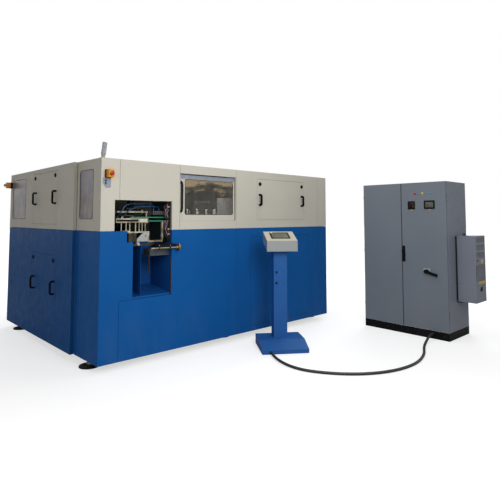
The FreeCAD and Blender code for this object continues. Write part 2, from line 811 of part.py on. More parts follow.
def latch(point, out):
    """Quarter-turn latch: round head with a grip, stud and inner cross bar."""
    head = turned([(0, 0), (LATCH_R, 0), (LATCH_R, LATCH_HEAD - 3), (LATCH_R - 3, LATCH_HEAD),
                   (0, LATCH_HEAD)], (0, 0, 0), V(0, -1, 0))
    grip = box(-3.0, 3.0, -LATCH_HEAD - 5, -LATCH_HEAD + 2, -LATCH_R + 3, LATCH_R - 3)
    stud = rod((0, -1, 0), "y", STUD_R, SHEET + 10)
    bar = box(-4.0, 4.0, SHEET + 4, SHEET + 9, -14.0, 14.0)
    return placed(joined([head, grip, stud, bar]), point, out)


# ---- stops, bracket and signal tower -----------------------------------

def stop_box(centre, out):
    """Base and switch box of one emergency stop, standing out of a face."""
    base = Part.makeBox(STOP_W, STOP_BASE, STOP_H, V(-STOP_W / 2, -STOP_BASE, -STOP_H / 2))
    body = Part.makeBox(STOP_W - 4, STOP_BODY, STOP_H - 4,
                        V(-STOP_W / 2 + 2, -STOP_BASE - STOP_BODY, -STOP_H / 2 + 2))
    body = soften(body, "y", 8.0)
    hole = rod((0, -STOP_BASE - STOP_BODY - 1, 0), "y", STOP_STEM_R + TURN_FIT, 26)
    return [placed(base, centre, out), placed(body.cut(hole), centre, out)]


def placed(shape, centre, out):
    """Turn a form made facing -Y to face another way and set it down."""
    if out.x < -0.5:
        shape.rotate(V(0, 0, 0), AXES["z"], -90)
    shape.translate(V(*centre))
    return shape


def stop_button(centre, out):
    """Mushroom button with its stem in the switch box."""
    front = STOP_BASE + STOP_BODY
    profile = [(0, front - 12), (STOP_STEM_R, front - 12), (STOP_STEM_R, front + STOP_STEM - 8),
               (STOP_HEAD_R, front + STOP_STEM - 8), (STOP_HEAD_R, front + STOP_STEM + 1),
               (STOP_HEAD_R * 0.7, STOP_REACH), (0, STOP_REACH)]
    return turned(profile, centre, out)


FRONT_STOP = (STOP_X, 0.0, STOP_Z)
SIDE_STOP = (-PROUD, SIDE_STOP_Y, SIDE_STOP_Z)


def estop_boxes():
    """Both emergency stop boxes."""
    return group(stop_box(FRONT_STOP, V(0, -1, 0)) + stop_box(SIDE_STOP, V(-1, 0, 0)))


def switch_bracket():
    """Plate under the front stop with a cut corner and two square holes."""
    x0, x1, z0, z1 = 15.0, 104.0, 1839.0, STOP_Z - STOP_H / 2
    outline = [(x0, z0 + 48), (x0 + 34, z0), (x1 - 12, z0), (x1, z0 + 12), (x1, z1), (x0, z1)]
    plate = prism(outline, "y", -SEAM, SEAM)
    for z in (1886.0, 1911.0):
        plate = plate.cut(box(41, 55, -5, 1, z - 7, z + 7))
    return plate


def signal_tower():
    """Leaning lamp tower: foot, tapered neck, three lenses and a cap."""
    point = (TOWER_X, TOWER_Y, 0)
    foot_z = TOP_Z
    foot = turned([(0, foot_z), (30, foot_z), (30, foot_z + 6), (0, foot_z + 6)], point)
    z = foot_z + 6
    pieces = [turned([(0, z), (17, z), (TOWER_R, z + TOWER_BASE_H), (0, z + TOWER_BASE_H)], point)]
    z += TOWER_BASE_H
    for index in range(3):
        r = TOWER_R - 1 if index % 2 else TOWER_R
        pieces.append(turned([(0, z), (r, z), (r, z + TOWER_SEGMENT), (0, z + TOWER_SEGMENT)], point))
        z += TOWER_SEGMENT
    pieces.append(turned([(0, z), (TOWER_R, z), (TOWER_R - 5, z + 10), (0, z + 10)], point))
    for piece in pieces:
        piece.rotate(V(TOWER_X + 17, TOWER_Y, foot_z + 6), AXES["y"], TOWER_LEAN)
    wedge = turned([(0, foot_z + 5), (19, foot_z + 5), (19, foot_z + 12), (0, foot_z + 12)], point)
    foot = foot.fuse(wedge.cut(pieces[0])).removeSplitter()
    return group([foot] + pieces)


# ---- bay ----------------------------------------------------------------

def chute():
    """Sloping bay floor that leads out to the front."""
    y0, y1 = FLANGE, BAY_DEPTH - LINER
    outline = [(y0, CHUTE_FRONT_Z - LINER), (y1, CHUTE_BACK_Z - LINER), (y1, CHUTE_BACK_Z), (y0, CHUTE_FRONT_Z)]
    return prism(outline, "x", BAY_STEP_2, BAY_RIGHT - BAY_STEP_2)


def bay_liner():
    """Walls, chute and partition of the bay."""
    y0 = FLANGE
    left = box(BAY_STEP_2 - LINER, BAY_STEP_2, y0, BAY_DEPTH, BAY_FLOOR_Z, BAY_SHELF_Z)
    right = box(BAY_RIGHT, BAY_RIGHT + LINER, y0, BAY_DEPTH, BAY_FLOOR_Z, BAY_TOP)
    back = box(BAY_STEP_2, BAY_RIGHT, BAY_DEPTH - LINER, BAY_DEPTH, BAY_FLOOR_Z, BAY_SHELF_Z)
    wall = [(20.0, CHUTE_BACK_Z + 18.0), (GUIDE_Y + 40.0, BAY_FLOOR_Z + 325.0),
            (GUIDE_Y + 40.0, PARTITION_TOP), (20.0, PARTITION_TOP)]
    partition = prism(wall, "x", PARTITION_X, LINER)
    hanger = box(PARTITION_X - 15.0, PARTITION_X + LINER, GUIDE_Y - 30.0, GUIDE_Y, PARTITION_TOP, MOTOR_Z)
    pocket = box(POCKET_X0, BAY_RIGHT, 60.0, 200.0, POCKET_Z0, POCKET_Z1)
    shell = joined([left, back, right, chute()])
    return group([shell, partition, hanger, pocket])


def guide_rails():
    """Two green guide rails in which the bottle necks run."""
    y = GUIDE_Y
    upper = box(400.0, BAY_RIGHT, y - 8, y + 8, UPPER_RAIL_Z, UPPER_RAIL_Z + RAIL_T)
    lower = box(630.0, BAY_RIGHT, y - 8, y + 8, LOWER_RAIL_Z, LOWER_RAIL_Z + RAIL_T)
    return group([upper, lower])


def cross_bars():
    """Level bars of the take-out set, from the upper bar to the lowest."""
    y = GUIDE_Y
    upper = box(GUIDE_X0 + 10, JOINT_X1 - 4, y - 8, y + 8, UPPER_BAR_Z, UPPER_BAR_Z + BAR_T)
    neck = box(GUIDE_X0, JOINT_X0, y - 10, y + 10, NECK_BAR_Z, NECK_BAR_Z + NECK_BAR_H)
    plate = box(JOINT_X0, JOINT_X1, y - 14, y + 8, JOINT_Z, NECK_BAR_Z + NECK_BAR_H)
    link = box(JOINT_X1 - 16, JOINT_X1 - 4, y + 8, y + 28, JOINT_Z + 4, UPPER_BAR_Z + BAR_T)
    shelf = box(SHELF_X0, SHELF_X1, y - 14, y + 14, SHELF_Z, SHELF_Z + SHELF_T)
    low = box(SHELF_X1, BAY_RIGHT, y - 10, y + 10, LOW_BAR_Z, LOW_BAR_Z + LOW_BAR_H)
    return [upper, neck, plate, link, shelf, low]


def bar_posts():
    """Short posts between the bars."""
    y = GUIDE_Y
    shelf_top = SHELF_Z + SHELF_T
    foot = box(SHELF_X0 - 82, SHELF_X0 + 28, y - 8, y + 8, shelf_top, shelf_top + 10)
    posts = [foot,
             box(SHELF_X1 - 18, SHELF_X1, y - 10, y + 10, LOW_BAR_Z, SHELF_Z),
             box(800.0, 820.0, y - 10, y + 10, LOW_BAR_Z + LOW_BAR_H, LOWER_RAIL_Z)]
    for x in (SHELF_X0 - 77, SHELF_X0 - 21, SHELF_X0 + 23):
        posts.append(box(x - 5, x + 5, y - 6, y + 6, shelf_top + 10, NECK_BAR_Z))
    posts.append(box(467.0, 477.0, y - 6, y + 6, shelf_top, NECK_BAR_Z))
    for x in (JOINT_X0 + 6, JOINT_X0 + 42, JOINT_X0 + 80):
        posts.append(box(x - 5, x + 5, y - 6, y + 6, shelf_top, JOINT_Z))
    return posts


def gusset_and_roller():
    """Gusset plate under the shelf with the roller that hangs from it."""
    y = GUIDE_Y
    right = SHELF_X1 - 18.0
    low = SHELF_Z - GUSSET_H
    outline = [(485.0, low), (right, low), (right, SHELF_Z), (562.0, SHELF_Z), (485.0, low + 28)]
    gusset = prism(outline, "y", y - 14, 8.0).cut(rod((594, y - 20, SHELF_Z - 36), "y", 8.0, 20))
    hanger = box(489.0, 501.0, y - 14, y - 6, low - 40, low)
    return [gusset, hanger, rod((495.0, y - 26, low - 26), "y", 20.0, 12.0)]


def guide_frame():
    """Bars, posts and plates of the take-out mechanism, bolted face to face."""
    y = GUIDE_Y
    valves = box(VALVE_X0, BAY_RIGHT, y - 6, y + 60, VALVE_Z0, VALVE_Z1)
    pieces = cross_bars() + bar_posts() + gusset_and_roller() + [valves, take_out_motor()]
    return group(pieces + spindle_arms() + dark_bars())


def dark_bars():
    """Bar over the partition, and the bar that sits on the arms in front."""
    tray = box(BAY_STEP_2, ARM_SPOTS[0], TRAY_BAR_Y, TRAY_BAR_Y + TRAY_BAR_W,
               PARTITION_TOP, PARTITION_TOP + TRAY_BAR_H)
    front = box(ARM_SPOTS[0], WHEEL_X - 30.0, SPINDLE_Y - FRONT_BAR_OUT, SPINDLE_Y + ARM_EYE,
                FRONT_BAR_Z, FRONT_BAR_Z + FRONT_BAR_H)
    return [tray, front]


def take_out_motor():
    """Small drive hanging under the shelf bar."""
    y = GUIDE_Y
    block = box(SHELF_X0 - 8, SHELF_X0 + 84, y - 40, y + 30, MOTOR_Z, SHELF_Z)
    return soften(block, "x", 10.0)


def spindle_arms():
    """Two arms that carry the spindle in front of the bay, with a seat for a bar."""
    y = GUIDE_Y
    front, rear, low = SPINDLE_Y - ARM_EYE, SPINDLE_Y + ARM_EYE, SPINDLE_Z - ARM_EYE
    arms = []
    for x in ARM_SPOTS:
        outline = [(front, low), (rear, low), (y + 10, LOW_BAR_Z - 23), (y + 10, LOW_BAR_Z), (y - 10, LOW_BAR_Z),
                   (rear, FRONT_BAR_Z + 14), (rear, FRONT_BAR_Z), (front, FRONT_BAR_Z)]
        arm = prism(outline, "x", x, ARM_T)
        bore = rod((x - 1, SPINDLE_Y, SPINDLE_Z), "x", SPINDLE_R + TURN_FIT, ARM_T + 2)
        arms.append(arm.cut(bore))
    return arms


def handwheel():
    """Adjusting spindle with its end collar and brass wheel."""
    profile = [(0, SPINDLE_X0), (SPINDLE_R, SPINDLE_X0), (SPINDLE_R, WHEEL_X - 12), (14, WHEEL_X - 12),
               (14, WHEEL_X), (WHEEL_R - 10, WHEEL_X + 3), (WHEEL_R - 2, WHEEL_X), (WHEEL_R, WHEEL_X + 3),
               (WHEEL_R, WHEEL_X + WHEEL_T - 3), (WHEEL_R - 2, WHEEL_X + WHEEL_T),
               (12, WHEEL_X + WHEEL_T - 4), (12, WHEEL_X + WHEEL_T + 6), (0, WHEEL_X + WHEEL_T + 6)]
    body = turned(profile, (0, SPINDLE_Y, SPINDLE_Z), "x")
    hole = rod((WHEEL_X - 20, 0, 0), "x", 6.0, 60)
    cuts = []
    for index in range(4):
        copy = hole.copy()
        copy.translate(V(0, SPINDLE_Y + 24, SPINDLE_Z))
        copy.rotate(V(0, SPINDLE_Y, SPINDLE_Z), AXES["x"], 45 + 90 * index)
        cuts.append(copy)
    return body.cut(Part.makeCompound(cuts))


def hose(points):
    """Air hose in straight runs joined by bends."""
    corners = [V(*p) for p in points]
    path, length, bends = bent_path(corners)
    ring = Part.Wire(Part.makeCircle(HOSE_R, corners[0], AXES["z"]))
    return path.makePipeShell([ring], True, False)


def air_hoses():
    """Two blue air hoses looping over the bars."""
    y = GUIDE_Y
    start = NECK_BAR_Z + NECK_BAR_H
    front = y - 48.0
    first = hose([(262, y, start), (262, y, start + 26), (276, front, start + 70), (330, front, start + 150),
                  (560, front, start + 166), (704, y + 14, start + 150), (704, y + 14, VALVE_Z1)])
    second = hose([(330, y, start), (330, y, start + 26), (346, front, start + 66), (440, front, start + 124),
                   (620, front, start + 130), (778, y + 24, start + 126), (778, y + 24, VALVE_Z1)])
    return group([first, second])


# ---- oven wheel, star and lamps ----------------------------------------

def star_x():
    """The star's pitch circle touches the wheel's pitch circle."""
    return OVEN_X - OVEN_R * (1.0 + STAR_POCKETS / float(SPINDLES))


def spindle():
    """One spindle with the chuck that holds a preform."""
    z0 = OVEN_DISC_Z + DISC_T
    z1 = z0 + SPINDLE_H
    profile = [(0, z0), (18, z0), (18, z1), (CHUCK_R, z1), (CHUCK_R, z1 + 18), (0, z1 + 18)]
    return turned(profile, (OVEN_X + OVEN_R, OVEN_Y, 0))


def oven_hub():
    """Hub turning on the column pin, with the flange that carries the disc."""
    bore = 40 + TURN_FIT
    z = OVEN_DISC_Z
    profile = [(bore, PEDESTAL_Z), (110, PEDESTAL_Z), (110, z), (70, z), (70, z + 60), (bore, z + 60)]
    return turned(profile, (OVEN_X, OVEN_Y, 0))


def oven_wheel():
    """Hub, disc and one spindle per pitch."""
    z = OVEN_DISC_Z
    edge = OVEN_R + 30
    disc = turned([(75, z), (edge, z), (edge, z + DISC_T), (75, z + DISC_T)], (OVEN_X, OVEN_Y, 0))
    return group([oven_hub(), disc] + round_pattern(spindle(), V(OVEN_X, OVEN_Y, 0), SPINDLES))


def preform():
    """Hollow preform with its neck ring, mouth down."""
    z = OVEN_DISC_Z + DISC_T + SPINDLE_H
    r = PREFORM_R
    bore = CHUCK_R + TURN_FIT
    end = z + PREFORM_L
    profile = [(bore, z), (r, z), (r, z + 16), (r + 3, z + 16), (r + 3, z + 19), (r, z + 19),
               (r, end - 9), (r - 6, end), (0, end), (0, end - 8), (bore, end - 8)]
    return turned(profile, (OVEN_X + OVEN_R, OVEN_Y, 0))


def preforms():
    """One preform on every spindle."""
    return group(round_pattern(preform(), V(OVEN_X, OVEN_Y, 0), SPINDLES))


def transfer_star():
    """Star disc whose pockets take the preforms off the wheel."""
    x = star_x()
    pitch = OVEN_R * STAR_POCKETS / float(SPINDLES)
    z = STAR_Z
    profile = [(20 + TURN_FIT, z - 40), (38, z - 40), (38, z), (pitch, z), (pitch, z + STAR_T),
               (20 + TURN_FIT, z + STAR_T)]
    disc = turned(profile, (x, OVEN_Y, 0))
    pocket = rod((x + pitch, OVEN_Y, z - 5), "z", PREFORM_R + 4, 30)
    cuts = round_pattern(pocket, V(x, OVEN_Y, 0), STAR_POCKETS)
    return disc.cut(Part.makeCompound(cuts))


def lamp_module():
    """Heater: lower case, back, roof and two cheeks round four lamp tubes."""
    x0, x1 = OVEN_X + MODULE_IN - 20, OVEN_X + MODULE_OUT
    y0, y1 = OVEN_Y - MODULE_W / 2, OVEN_Y + MODULE_W / 2
    z = OVEN_DISC_Z + 60
    low = box(x0, x1, y0, y1, TABLE_TOP, z).cut(rod((OVEN_X, OVEN_Y, TABLE_TOP - 1), "z", MODULE_IN, 1000))
    front = OVEN_X + MODULE_IN
    back = x1 - MODULE_BACK
    roof = MODULE_TOP - MODULE_ROOF
    c = MODULE_CHEEK
    pieces = [low, box(back, x1, y0, y1, z, MODULE_TOP), box(front, back, y0, y1, roof, MODULE_TOP),
              box(front, back, y0, y0 + c, z, roof), box(front, back, y1 - c, y1, z, roof)]
    for index in range(4):
        height = z + 40 + LAMP_STEP * index
        pieces.append(rod((back - 20, y0 + c, height), "y", 7.0, MODULE_W - 2 * c))
    return group(pieces)


def lamp_modules():
    """Heater boxes round the free side of the wheel."""
    boxes = []
    for angle in MODULES:
        copy = lamp_module()
        copy.rotate(V(OVEN_X, OVEN_Y, 0), AXES["z"], angle)
        boxes.append(copy)
    return group(boxes)


# ---- blow clamp ---------------------------------------------------------

def tie_spots():
    """Centres of the four tie bars in the side plates."""
    ys = (CLAMP_Y0 + TIE_INSET, CLAMP_Y1 - TIE_INSET)
    zs = (TABLE_TOP + 30 + TIE_INSET, CLAMP_TOP - TIE_INSET)
    return [(y, z) for y in ys for z in zs]


def stretch_spots():
    """Centres of the stretch rods, one over each cavity."""
    mid = (CLAMP_Y0 + CLAMP_Y1) / 2
    return [mid - CAVITY_PITCH / 2, mid + CAVITY_PITCH / 2]


def clamp_frame():
    """Base, two side plates, four tie bars and the top bridge."""
    z0 = TABLE_TOP
    mid = (CLAMP_X0 + CLAMP_X1) / 2
    forms = [box(CLAMP_X0, CLAMP_X1, CLAMP_Y0, CLAMP_Y1, z0, z0 + 30)]
    for x in (CLAMP_X0, CLAMP_X1 - SIDE_PLATE):
        forms.append(box(x, x + SIDE_PLATE, CLAMP_Y0, CLAMP_Y1, z0 + 20, CLAMP_TOP))
    for y, z in tie_spots():
        forms.append(rod((CLAMP_X0 + 10, y, z), "x", TIE_R, CLAMP_X1 - CLAMP_X0 - 20))
    ys = stretch_spots()
    bridge = box(CLAMP_X0, CLAMP_X1, ys[0] - 60, ys[1] + 60, CLAMP_TOP - 1, CLAMP_TOP + BRIDGE_T)
    for y in ys:
        bridge = bridge.cut(rod((mid, y, CLAMP_TOP - 5), "z", STRETCH_R + TURN_FIT, 60))
    forms.append(bridge)
    return joined(forms)


def bottle(x, y):
    """Form of a blown bottle, used to cut the cavities."""
    z = TABLE_TOP + 190
    r = CAVITY_R
    profile = [(0, z), (r * 0.7, z), (r, z + 10), (r, z + 210), (r * 0.35, z + 290), (r * 0.35, CLAMP_TOP)]
    profile.append((0, CLAMP_TOP))
    return turned(profile, (x, y, 0))


def mould(side):
    """Mould half on its platen, with the bottle cavities in its face."""
    mid = (CLAMP_X0 + CLAMP_X1) / 2
    face = mid + side * MOULD_GAP / 2
    back = face + side * MOULD_T
    z0 = TABLE_TOP + 60
    platen = box(min(back, back - side * 50), max(back, back - side * 50),
                 CLAMP_Y0 + 20, CLAMP_Y1 - 20, z0, CLAMP_TOP - 20)
    block = box(min(face, back), max(face, back), CLAMP_Y0 + 130, CLAMP_Y1 - 130, z0 + 110, CLAMP_TOP - 120)
    body = joined([platen, block])
    bars = [rod((CLAMP_X0, y, z), "x", TIE_R + TURN_FIT, CLAMP_X1 - CLAMP_X0) for y, z in tie_spots()]
    cavities = [bottle(face, y) for y in stretch_spots()]
    return body.cut(Part.makeCompound(bars + cavities))


def stretch_unit():
    """Crosshead with one stretch rod over each cavity."""
    mid = (CLAMP_X0 + CLAMP_X1) / 2
    ys = stretch_spots()
    z = CLAMP_TOP + BRIDGE_T + STRETCH_STROKE + 10
    forms = [box(mid - 60, mid + 60, ys[0] - 50, ys[1] + 50, z, z + CROSSHEAD_T)]
    for y in ys:
        forms.append(rod((mid, y, CLAMP_TOP - 60), "z", STRETCH_R, z + 10 - CLAMP_TOP + 60))
    return joined(forms)


# ---- operator console ---------------------------------------------------

def on_console(shape):
    """Turn and move a form from the console's own frame to its place."""
    shape.rotate(V(0, 0, 0), AXES["z"], CONSOLE_TURN)
    shape.translate(V(CONSOLE_X, CONSOLE_Y, 0))
    return shape


def console_base():
    """Folded cover with a slope and a low front lip, open below."""
    outline = [(PLINTH_REAR, 0), (PLINTH_REAR, PLINTH_H), (PLINTH_BEND, PLINTH_H),
               (PLINTH_FRONT, PLINTH_LIP), (PLINTH_FRONT, 0)]
    outer = prism(outline, "x", -PLINTH_W / 2, PLINTH_W)
    w = CONSOLE_WALL
    inner = [(PLINTH_REAR - w, -1), (PLINTH_REAR - w, PLINTH_H - w), (PLINTH_BEND, PLINTH_H - w),
             (PLINTH_FRONT + w, PLINTH_LIP - w), (PLINTH_FRONT + w, -1)]
    shell = outer.cut(prism(inner, "x", -PLINTH_W / 2 + w, PLINTH_W - 2 * w))
    mouth = (ENTRY_X, PLINTH_FRONT - GLAND_L, ENTRY_Z)
    gland = rod(mouth, "y", CABLE_R + GLAND_WALL, GLAND_L + w)
    return joined([shell, gland]).cut(rod(mouth, "y", CABLE_R + CABLE_FIT, GLAND_L + w + 1))


def desk_z(y):
    """Height of the desk's sloping underside at a depth."""
    slope = (DESK_REAR_Z - DESK_FRONT_Z) / (DESK_REAR - DESK_FRONT)
    return DESK_FRONT_Z + slope * (y - DESK_FRONT)


def console_column():
    """Square column cut off along the underside of the desk."""
    w = CONSOLE_WALL
    y0, y1 = -COLUMN_D / 2, COLUMN_D / 2
    outline = [(y0, PLINTH_H), (y1, PLINTH_H), (y1, desk_z(y1)), (y0, desk_z(y0))]
    inner = [(y0 + w, PLINTH_H - 1), (y1 - w, PLINTH_H - 1), (y1 - w, 1300.0), (y0 + w, 1300.0)]
    column = prism(outline, "x", -COLUMN_W / 2, COLUMN_W)
    return column.cut(prism(inner, "x", -COLUMN_W / 2 + w, COLUMN_W - 2 * w))


def column_plugs():
    """Two round cover plugs on the column front."""
    y = -COLUMN_D / 2
    return [rod((-48.0, y - 4, z), "y", 13.0, 4.0) for z in (985.0, 868.0)]


def console_stand():
    """Column on its base, with the two plugs."""
    return on_console(group([console_base(), console_column()] + column_plugs()))


def desk_outline(inset):
    """Side view of the desk box, drawn in by an inset."""
    return [(DESK_FRONT + inset, DESK_FRONT_Z + inset), (DESK_REAR - inset, DESK_REAR_Z + inset),
            (DESK_REAR - inset, DESK_REAR_TOP - inset), (DESK_FRONT + inset, DESK_FRONT_TOP - inset)]


def screen_block(grow, top, low):
    """Slanting block in the desk top, measured from the top plane."""
    slope = (DESK_REAR_TOP - DESK_FRONT_TOP) / (DESK_REAR - DESK_FRONT)
    y0, y1 = DESK_FRONT + 72.0 - grow, DESK_REAR - 46.0 + grow
    z0 = DESK_FRONT_TOP + slope * (y0 - DESK_FRONT)
    z1 = DESK_FRONT_TOP + slope * (y1 - DESK_FRONT)
    outline = [(y0, z0 - low), (y1, z1 - low), (y1, z1 + top), (y0, z0 + top)]
    return prism(outline, "x", -SCREEN_W / 2 - grow, SCREEN_W + 2 * grow)


def console_box():
    """Hollow desk box with the opening for the screen."""
    w = CONSOLE_WALL
    outer = prism(desk_outline(0.0), "x", -DESK_W / 2, DESK_W)
    inner = prism(desk_outline(w), "x", -DESK_W / 2 + w, DESK_W - 2 * w)
    return on_console(outer.cut(inner).cut(screen_block(0.0, 10.0, 10.0)))


def console_screen():
    """Framed screen that fills the opening of the desk."""
    body = screen_block(0.0, 0.0, 30.0).fuse(screen_block(6.0, 5.0, 0.0))
    return on_console(body.removeSplitter())


# ---- control cabinet ----------------------------------------------------

def cabinet_plinth():
    """Black base frame with a cable outlet in its front."""
    outer = box(CAB_X + 2, CAB_X1, CAB_Y0, CAB_Y1, 0, CAB_PLINTH)
    w = CONSOLE_WALL
    inner = box(CAB_X + 2 + w, CAB_X1 - w, CAB_Y0 + w, CAB_Y1 - w, -1, CAB_PLINTH + 1)
    ring = outer.cut(inner)
    mouth = (CAB_X - GLAND_L, CABLE_START[1], CABLE_START[2])
    gland = rod(mouth, "x", CABLE_R + GLAND_WALL, GLAND_L + 4)
    bore = rod(mouth, "x", CABLE_R + CABLE_FIT, CABLE_START[0] - mouth[0])
    return joined([ring, gland]).cut(bore)


def cabinet_body():
    """Cabinet shell, open in front inside a narrow return edge, with its hinges."""
    x0 = CAB_X + CAB_DOOR
    s = CAB_SHEET
    shell = box(x0, CAB_X1, CAB_Y0, CAB_Y1, CAB_PLINTH, CAB_H)
    room = box(x0 + s, CAB_X1 - s, CAB_Y0 + s, CAB_Y1 - s, CAB_PLINTH + s, CAB_H - s)
    mouth = box(x0 - 1, x0 + s + 1, CAB_Y0 + CAB_LIP, CAB_Y1 - CAB_LIP, CAB_PLINTH + CAB_LIP, CAB_H - CAB_LIP)
    body = shell.cut(room).cut(mouth)
    hinges = []
    for z in HINGE_SPOTS:
        hinges.append(fixed_hinge(CAB_Y1, 1.0, z))
        hinges.append(fixed_hinge(CAB_Y0, -1.0, z))
    return group([body] + hinges)


def side_box(x0, x1, y, way, low, high, z0, z1):
    """Block measured outwards from one side wall of the cabinet."""
    edges = sorted((y + way * low, y + way * high))
    return box(x0, x1, edges[0], edges[1], z0, z1)


def fixed_hinge(y, way, z):
    """Leaf, knuckle and pin on the cabinet side."""
    x = CAB_X + CAB_DOOR
    leaf = side_box(x, x + HINGE_LEAF, y, way, 0.0, HINGE_T, z, z + HINGE_H)
    centre = (x, y + way * HINGE_OUT, z)
    return joined([leaf, rod(centre, "z", HINGE_R, HINGE_H), rod(centre, "z", HINGE_PIN_R, 2 * HINGE_H)])


def door_hinge(y, way, z):
    """Leaf and bored knuckle on the door edge, over the fixed knuckle."""
    x = CAB_X + CAB_DOOR
    z0 = z + HINGE_H + 0.5
    height = HINGE_H - 0.5
    leaf = side_box(x - CAB_DOOR + 3, x, y, way, -CAB_EDGE, HINGE_T, z0, z0 + height)
    centre = (x, y + way * HINGE_OUT, z0)
    bore = rod((centre[0], centre[1], z0 - 1), "z", HINGE_PIN_R + TURN_FIT, HINGE_H + 2)
    return joined([leaf, rod(centre, "z", HINGE_R, height)]).cut(bore)


def mounting_panel():
    """Plate with device rows, on four studs from the back wall."""
    back = CAB_X1 - CAB_SHEET
    x0 = back - 50
    y0, y1 = CAB_Y0 + 60, CAB_Y1 - 60
    z0, z1 = CAB_PLINTH + 80, CAB_H - 100
    forms = [box(x0 - 3, x0, y0, y1, z0, z1)]
    for y in (y0 + 30, y1 - 30):
        for z in (z0 + 30, z1 - 30):
            forms.append(rod((x0 - 1, y, z), "x", 8.0, back - x0 + 1))
    for index in range(4):
        z = z0 + 180 + 400 * index
        forms.append(box(x0 - 90 + 10 * index, x0 - 2, y0 + 80, y1 - 80 - 120 * (index % 2), z, z + 160))
    return joined(forms)


def cabinet_door(y0, y1, hinge_y, way):
    """Cabinet door as a folded tray with its hinge knuckles."""
    outline = oblong(y0, y1, CAB_PLINTH + 2, CAB_H - 1)
    door = tray(outline, "x", CAB_X, CAB_DOOR, CAB_SHEET)
    return joined([door] + [door_hinge(hinge_y, way, z) for z in HINGE_SPOTS])


LEVER_Y = CAB_SPLIT - 30.5
LEVER_Z = CAB_H / 2 + 78.0
LEVER_GRIP_Z = LEVER_Z - 121.0
SWITCH_Y = CAB_Y0 + 270.0
SWITCH_Z = LEVER_Z - 237.0
LAMP_Z = CAB_H - 149.0
LAMP_SPOTS = (CAB_Y0 + 411.0, CAB_Y0 + 306.0, CAB_Y0 + 205.0)
METER = (CAB_Y0 + 413.0, CAB_Y0 + 513.0, CAB_H - 354.0, CAB_H - 247.0)
DISPLAY = (CAB_Y0 + 145.0, CAB_Y0 + 288.0, CAB_H - 352.0, CAB_H - 242.0)
FACE_T = 8.0


def cabinet_door_left():
    """Far door."""
    return cabinet_door(CAB_SPLIT + HALF, CAB_Y1 - CAB_EDGE, CAB_Y1, 1.0)


def cabinet_door_right():
    """Near door with the bores for the lever and the main switch."""
    door = cabinet_door(CAB_Y0 + CAB_EDGE, CAB_SPLIT - HALF, CAB_Y0, -1.0)
    bores = [rod((CAB_X - 1, LEVER_Y, LEVER_Z), "x", 9.0 + TURN_FIT, 8),
             rod((CAB_X - 1, SWITCH_Y, SWITCH_Z), "x", 9.0 + TURN_FIT, 8)]
    return door.cut(Part.makeCompound(bores))


def door_fittings():
    """Lamps, meter, display, lever plate and switch plate on the near door."""
    x = CAB_X
    out = V(-1, 0, 0)
    lamp = [(0, 0), (14, 0), (14, 4), (11, 4), (11, 10), (8, 13), (0, 13)]
    parts = [turned(lamp, (x, y, LAMP_Z), out) for y in LAMP_SPOTS]
    parts += [pane(METER, "x", x - FACE_T, FACE_T, 4.0), pane(DISPLAY, "x", x - FACE_T, FACE_T, 4.0)]
    plate = pane((LEVER_Y - 19, LEVER_Y + 19, LEVER_Z - 128, LEVER_Z + 82), "x", x - 6, 6.0, 9.0)
    parts.append(plate.cut(rod((x - 9, LEVER_Y, LEVER_Z), "x", 9.0 + TURN_FIT, 12)))
    plate = soften(box(x - 5, x, SWITCH_Y - 45, SWITCH_Y + 45, SWITCH_Z - 40, SWITCH_Z + 41), "x", 8.0)
    parts.append(plate.cut(rod((x - 9, SWITCH_Y, SWITCH_Z), "x", 9.0 + TURN_FIT, 12)))
    return group(parts)


def lever_boss():
    """Turning boss of the swing handle, forked for the lever."""
    x = CAB_X
    shaft = rod((x - 6, LEVER_Y, LEVER_Z), "x", 9.0, 14)
    head = rod((x - 14, LEVER_Y, LEVER_Z), "x", 17.0, 8)
    fork = box(x - 30, x - 14, LEVER_Y - 16, LEVER_Y + 16, LEVER_Z + 2, LEVER_Z + 22)
    slot = box(x - 31, x - 14, LEVER_Y - 9.3, LEVER_Y + 9.3, LEVER_Z - 1, LEVER_Z + 30)
    pin_hole = rod((x - 23, LEVER_Y - 20, LEVER_Z + 12), "y", 3.0 + TURN_FIT, 40)
    return joined([shaft, head, fork]).cut(slot).cut(pin_hole)


def lever_handle():
    """Swing lever, narrow at the pivot and wider at the grip."""
    x = CAB_X
    z1 = LEVER_Z + 17
    z0 = LEVER_GRIP_Z
    grip = [(LEVER_Y - 9, z1), (LEVER_Y + 9, z1), (LEVER_Y + 9, LEVER_Z - 20), (LEVER_Y + 15, z0 + 13),
            (LEVER_Y + 11, z0), (LEVER_Y - 11, z0), (LEVER_Y - 15, z0 + 13), (LEVER_Y - 9, LEVER_Z - 20)]
    body = prism(grip, "x", x - 29, 11.0)
    pin = rod((x - 23, LEVER_Y - 16, LEVER_Z + 12), "y", 3.0, 32)
    return joined([body, pin])


def switch_lever():
    """Main switch knob with its long lever."""
    x = CAB_X
    shaft = rod((x - 5, SWITCH_Y, SWITCH_Z), "x", 9.0, 12)
    knob = rod((x - 38, SWITCH_Y, SWITCH_Z), "x", 29.0, 33)
    arm = [(SWITCH_Y + 4, SWITCH_Z - 24), (SWITCH_Y - 60, SWITCH_Z - 36), (SWITCH_Y - 138, SWITCH_Z - 57),
           (SWITCH_Y - 147, SWITCH_Z - 46), (SWITCH_Y - 144, SWITCH_Z - 24), (SWITCH_Y - 60, SWITCH_Z - 2),
           (SWITCH_Y - 10, SWITCH_Z + 20)]
    lever = soften(prism(arm, "x", x - 34, 20.0), "x", 4.0)
    return joined([shaft, knob, lever])


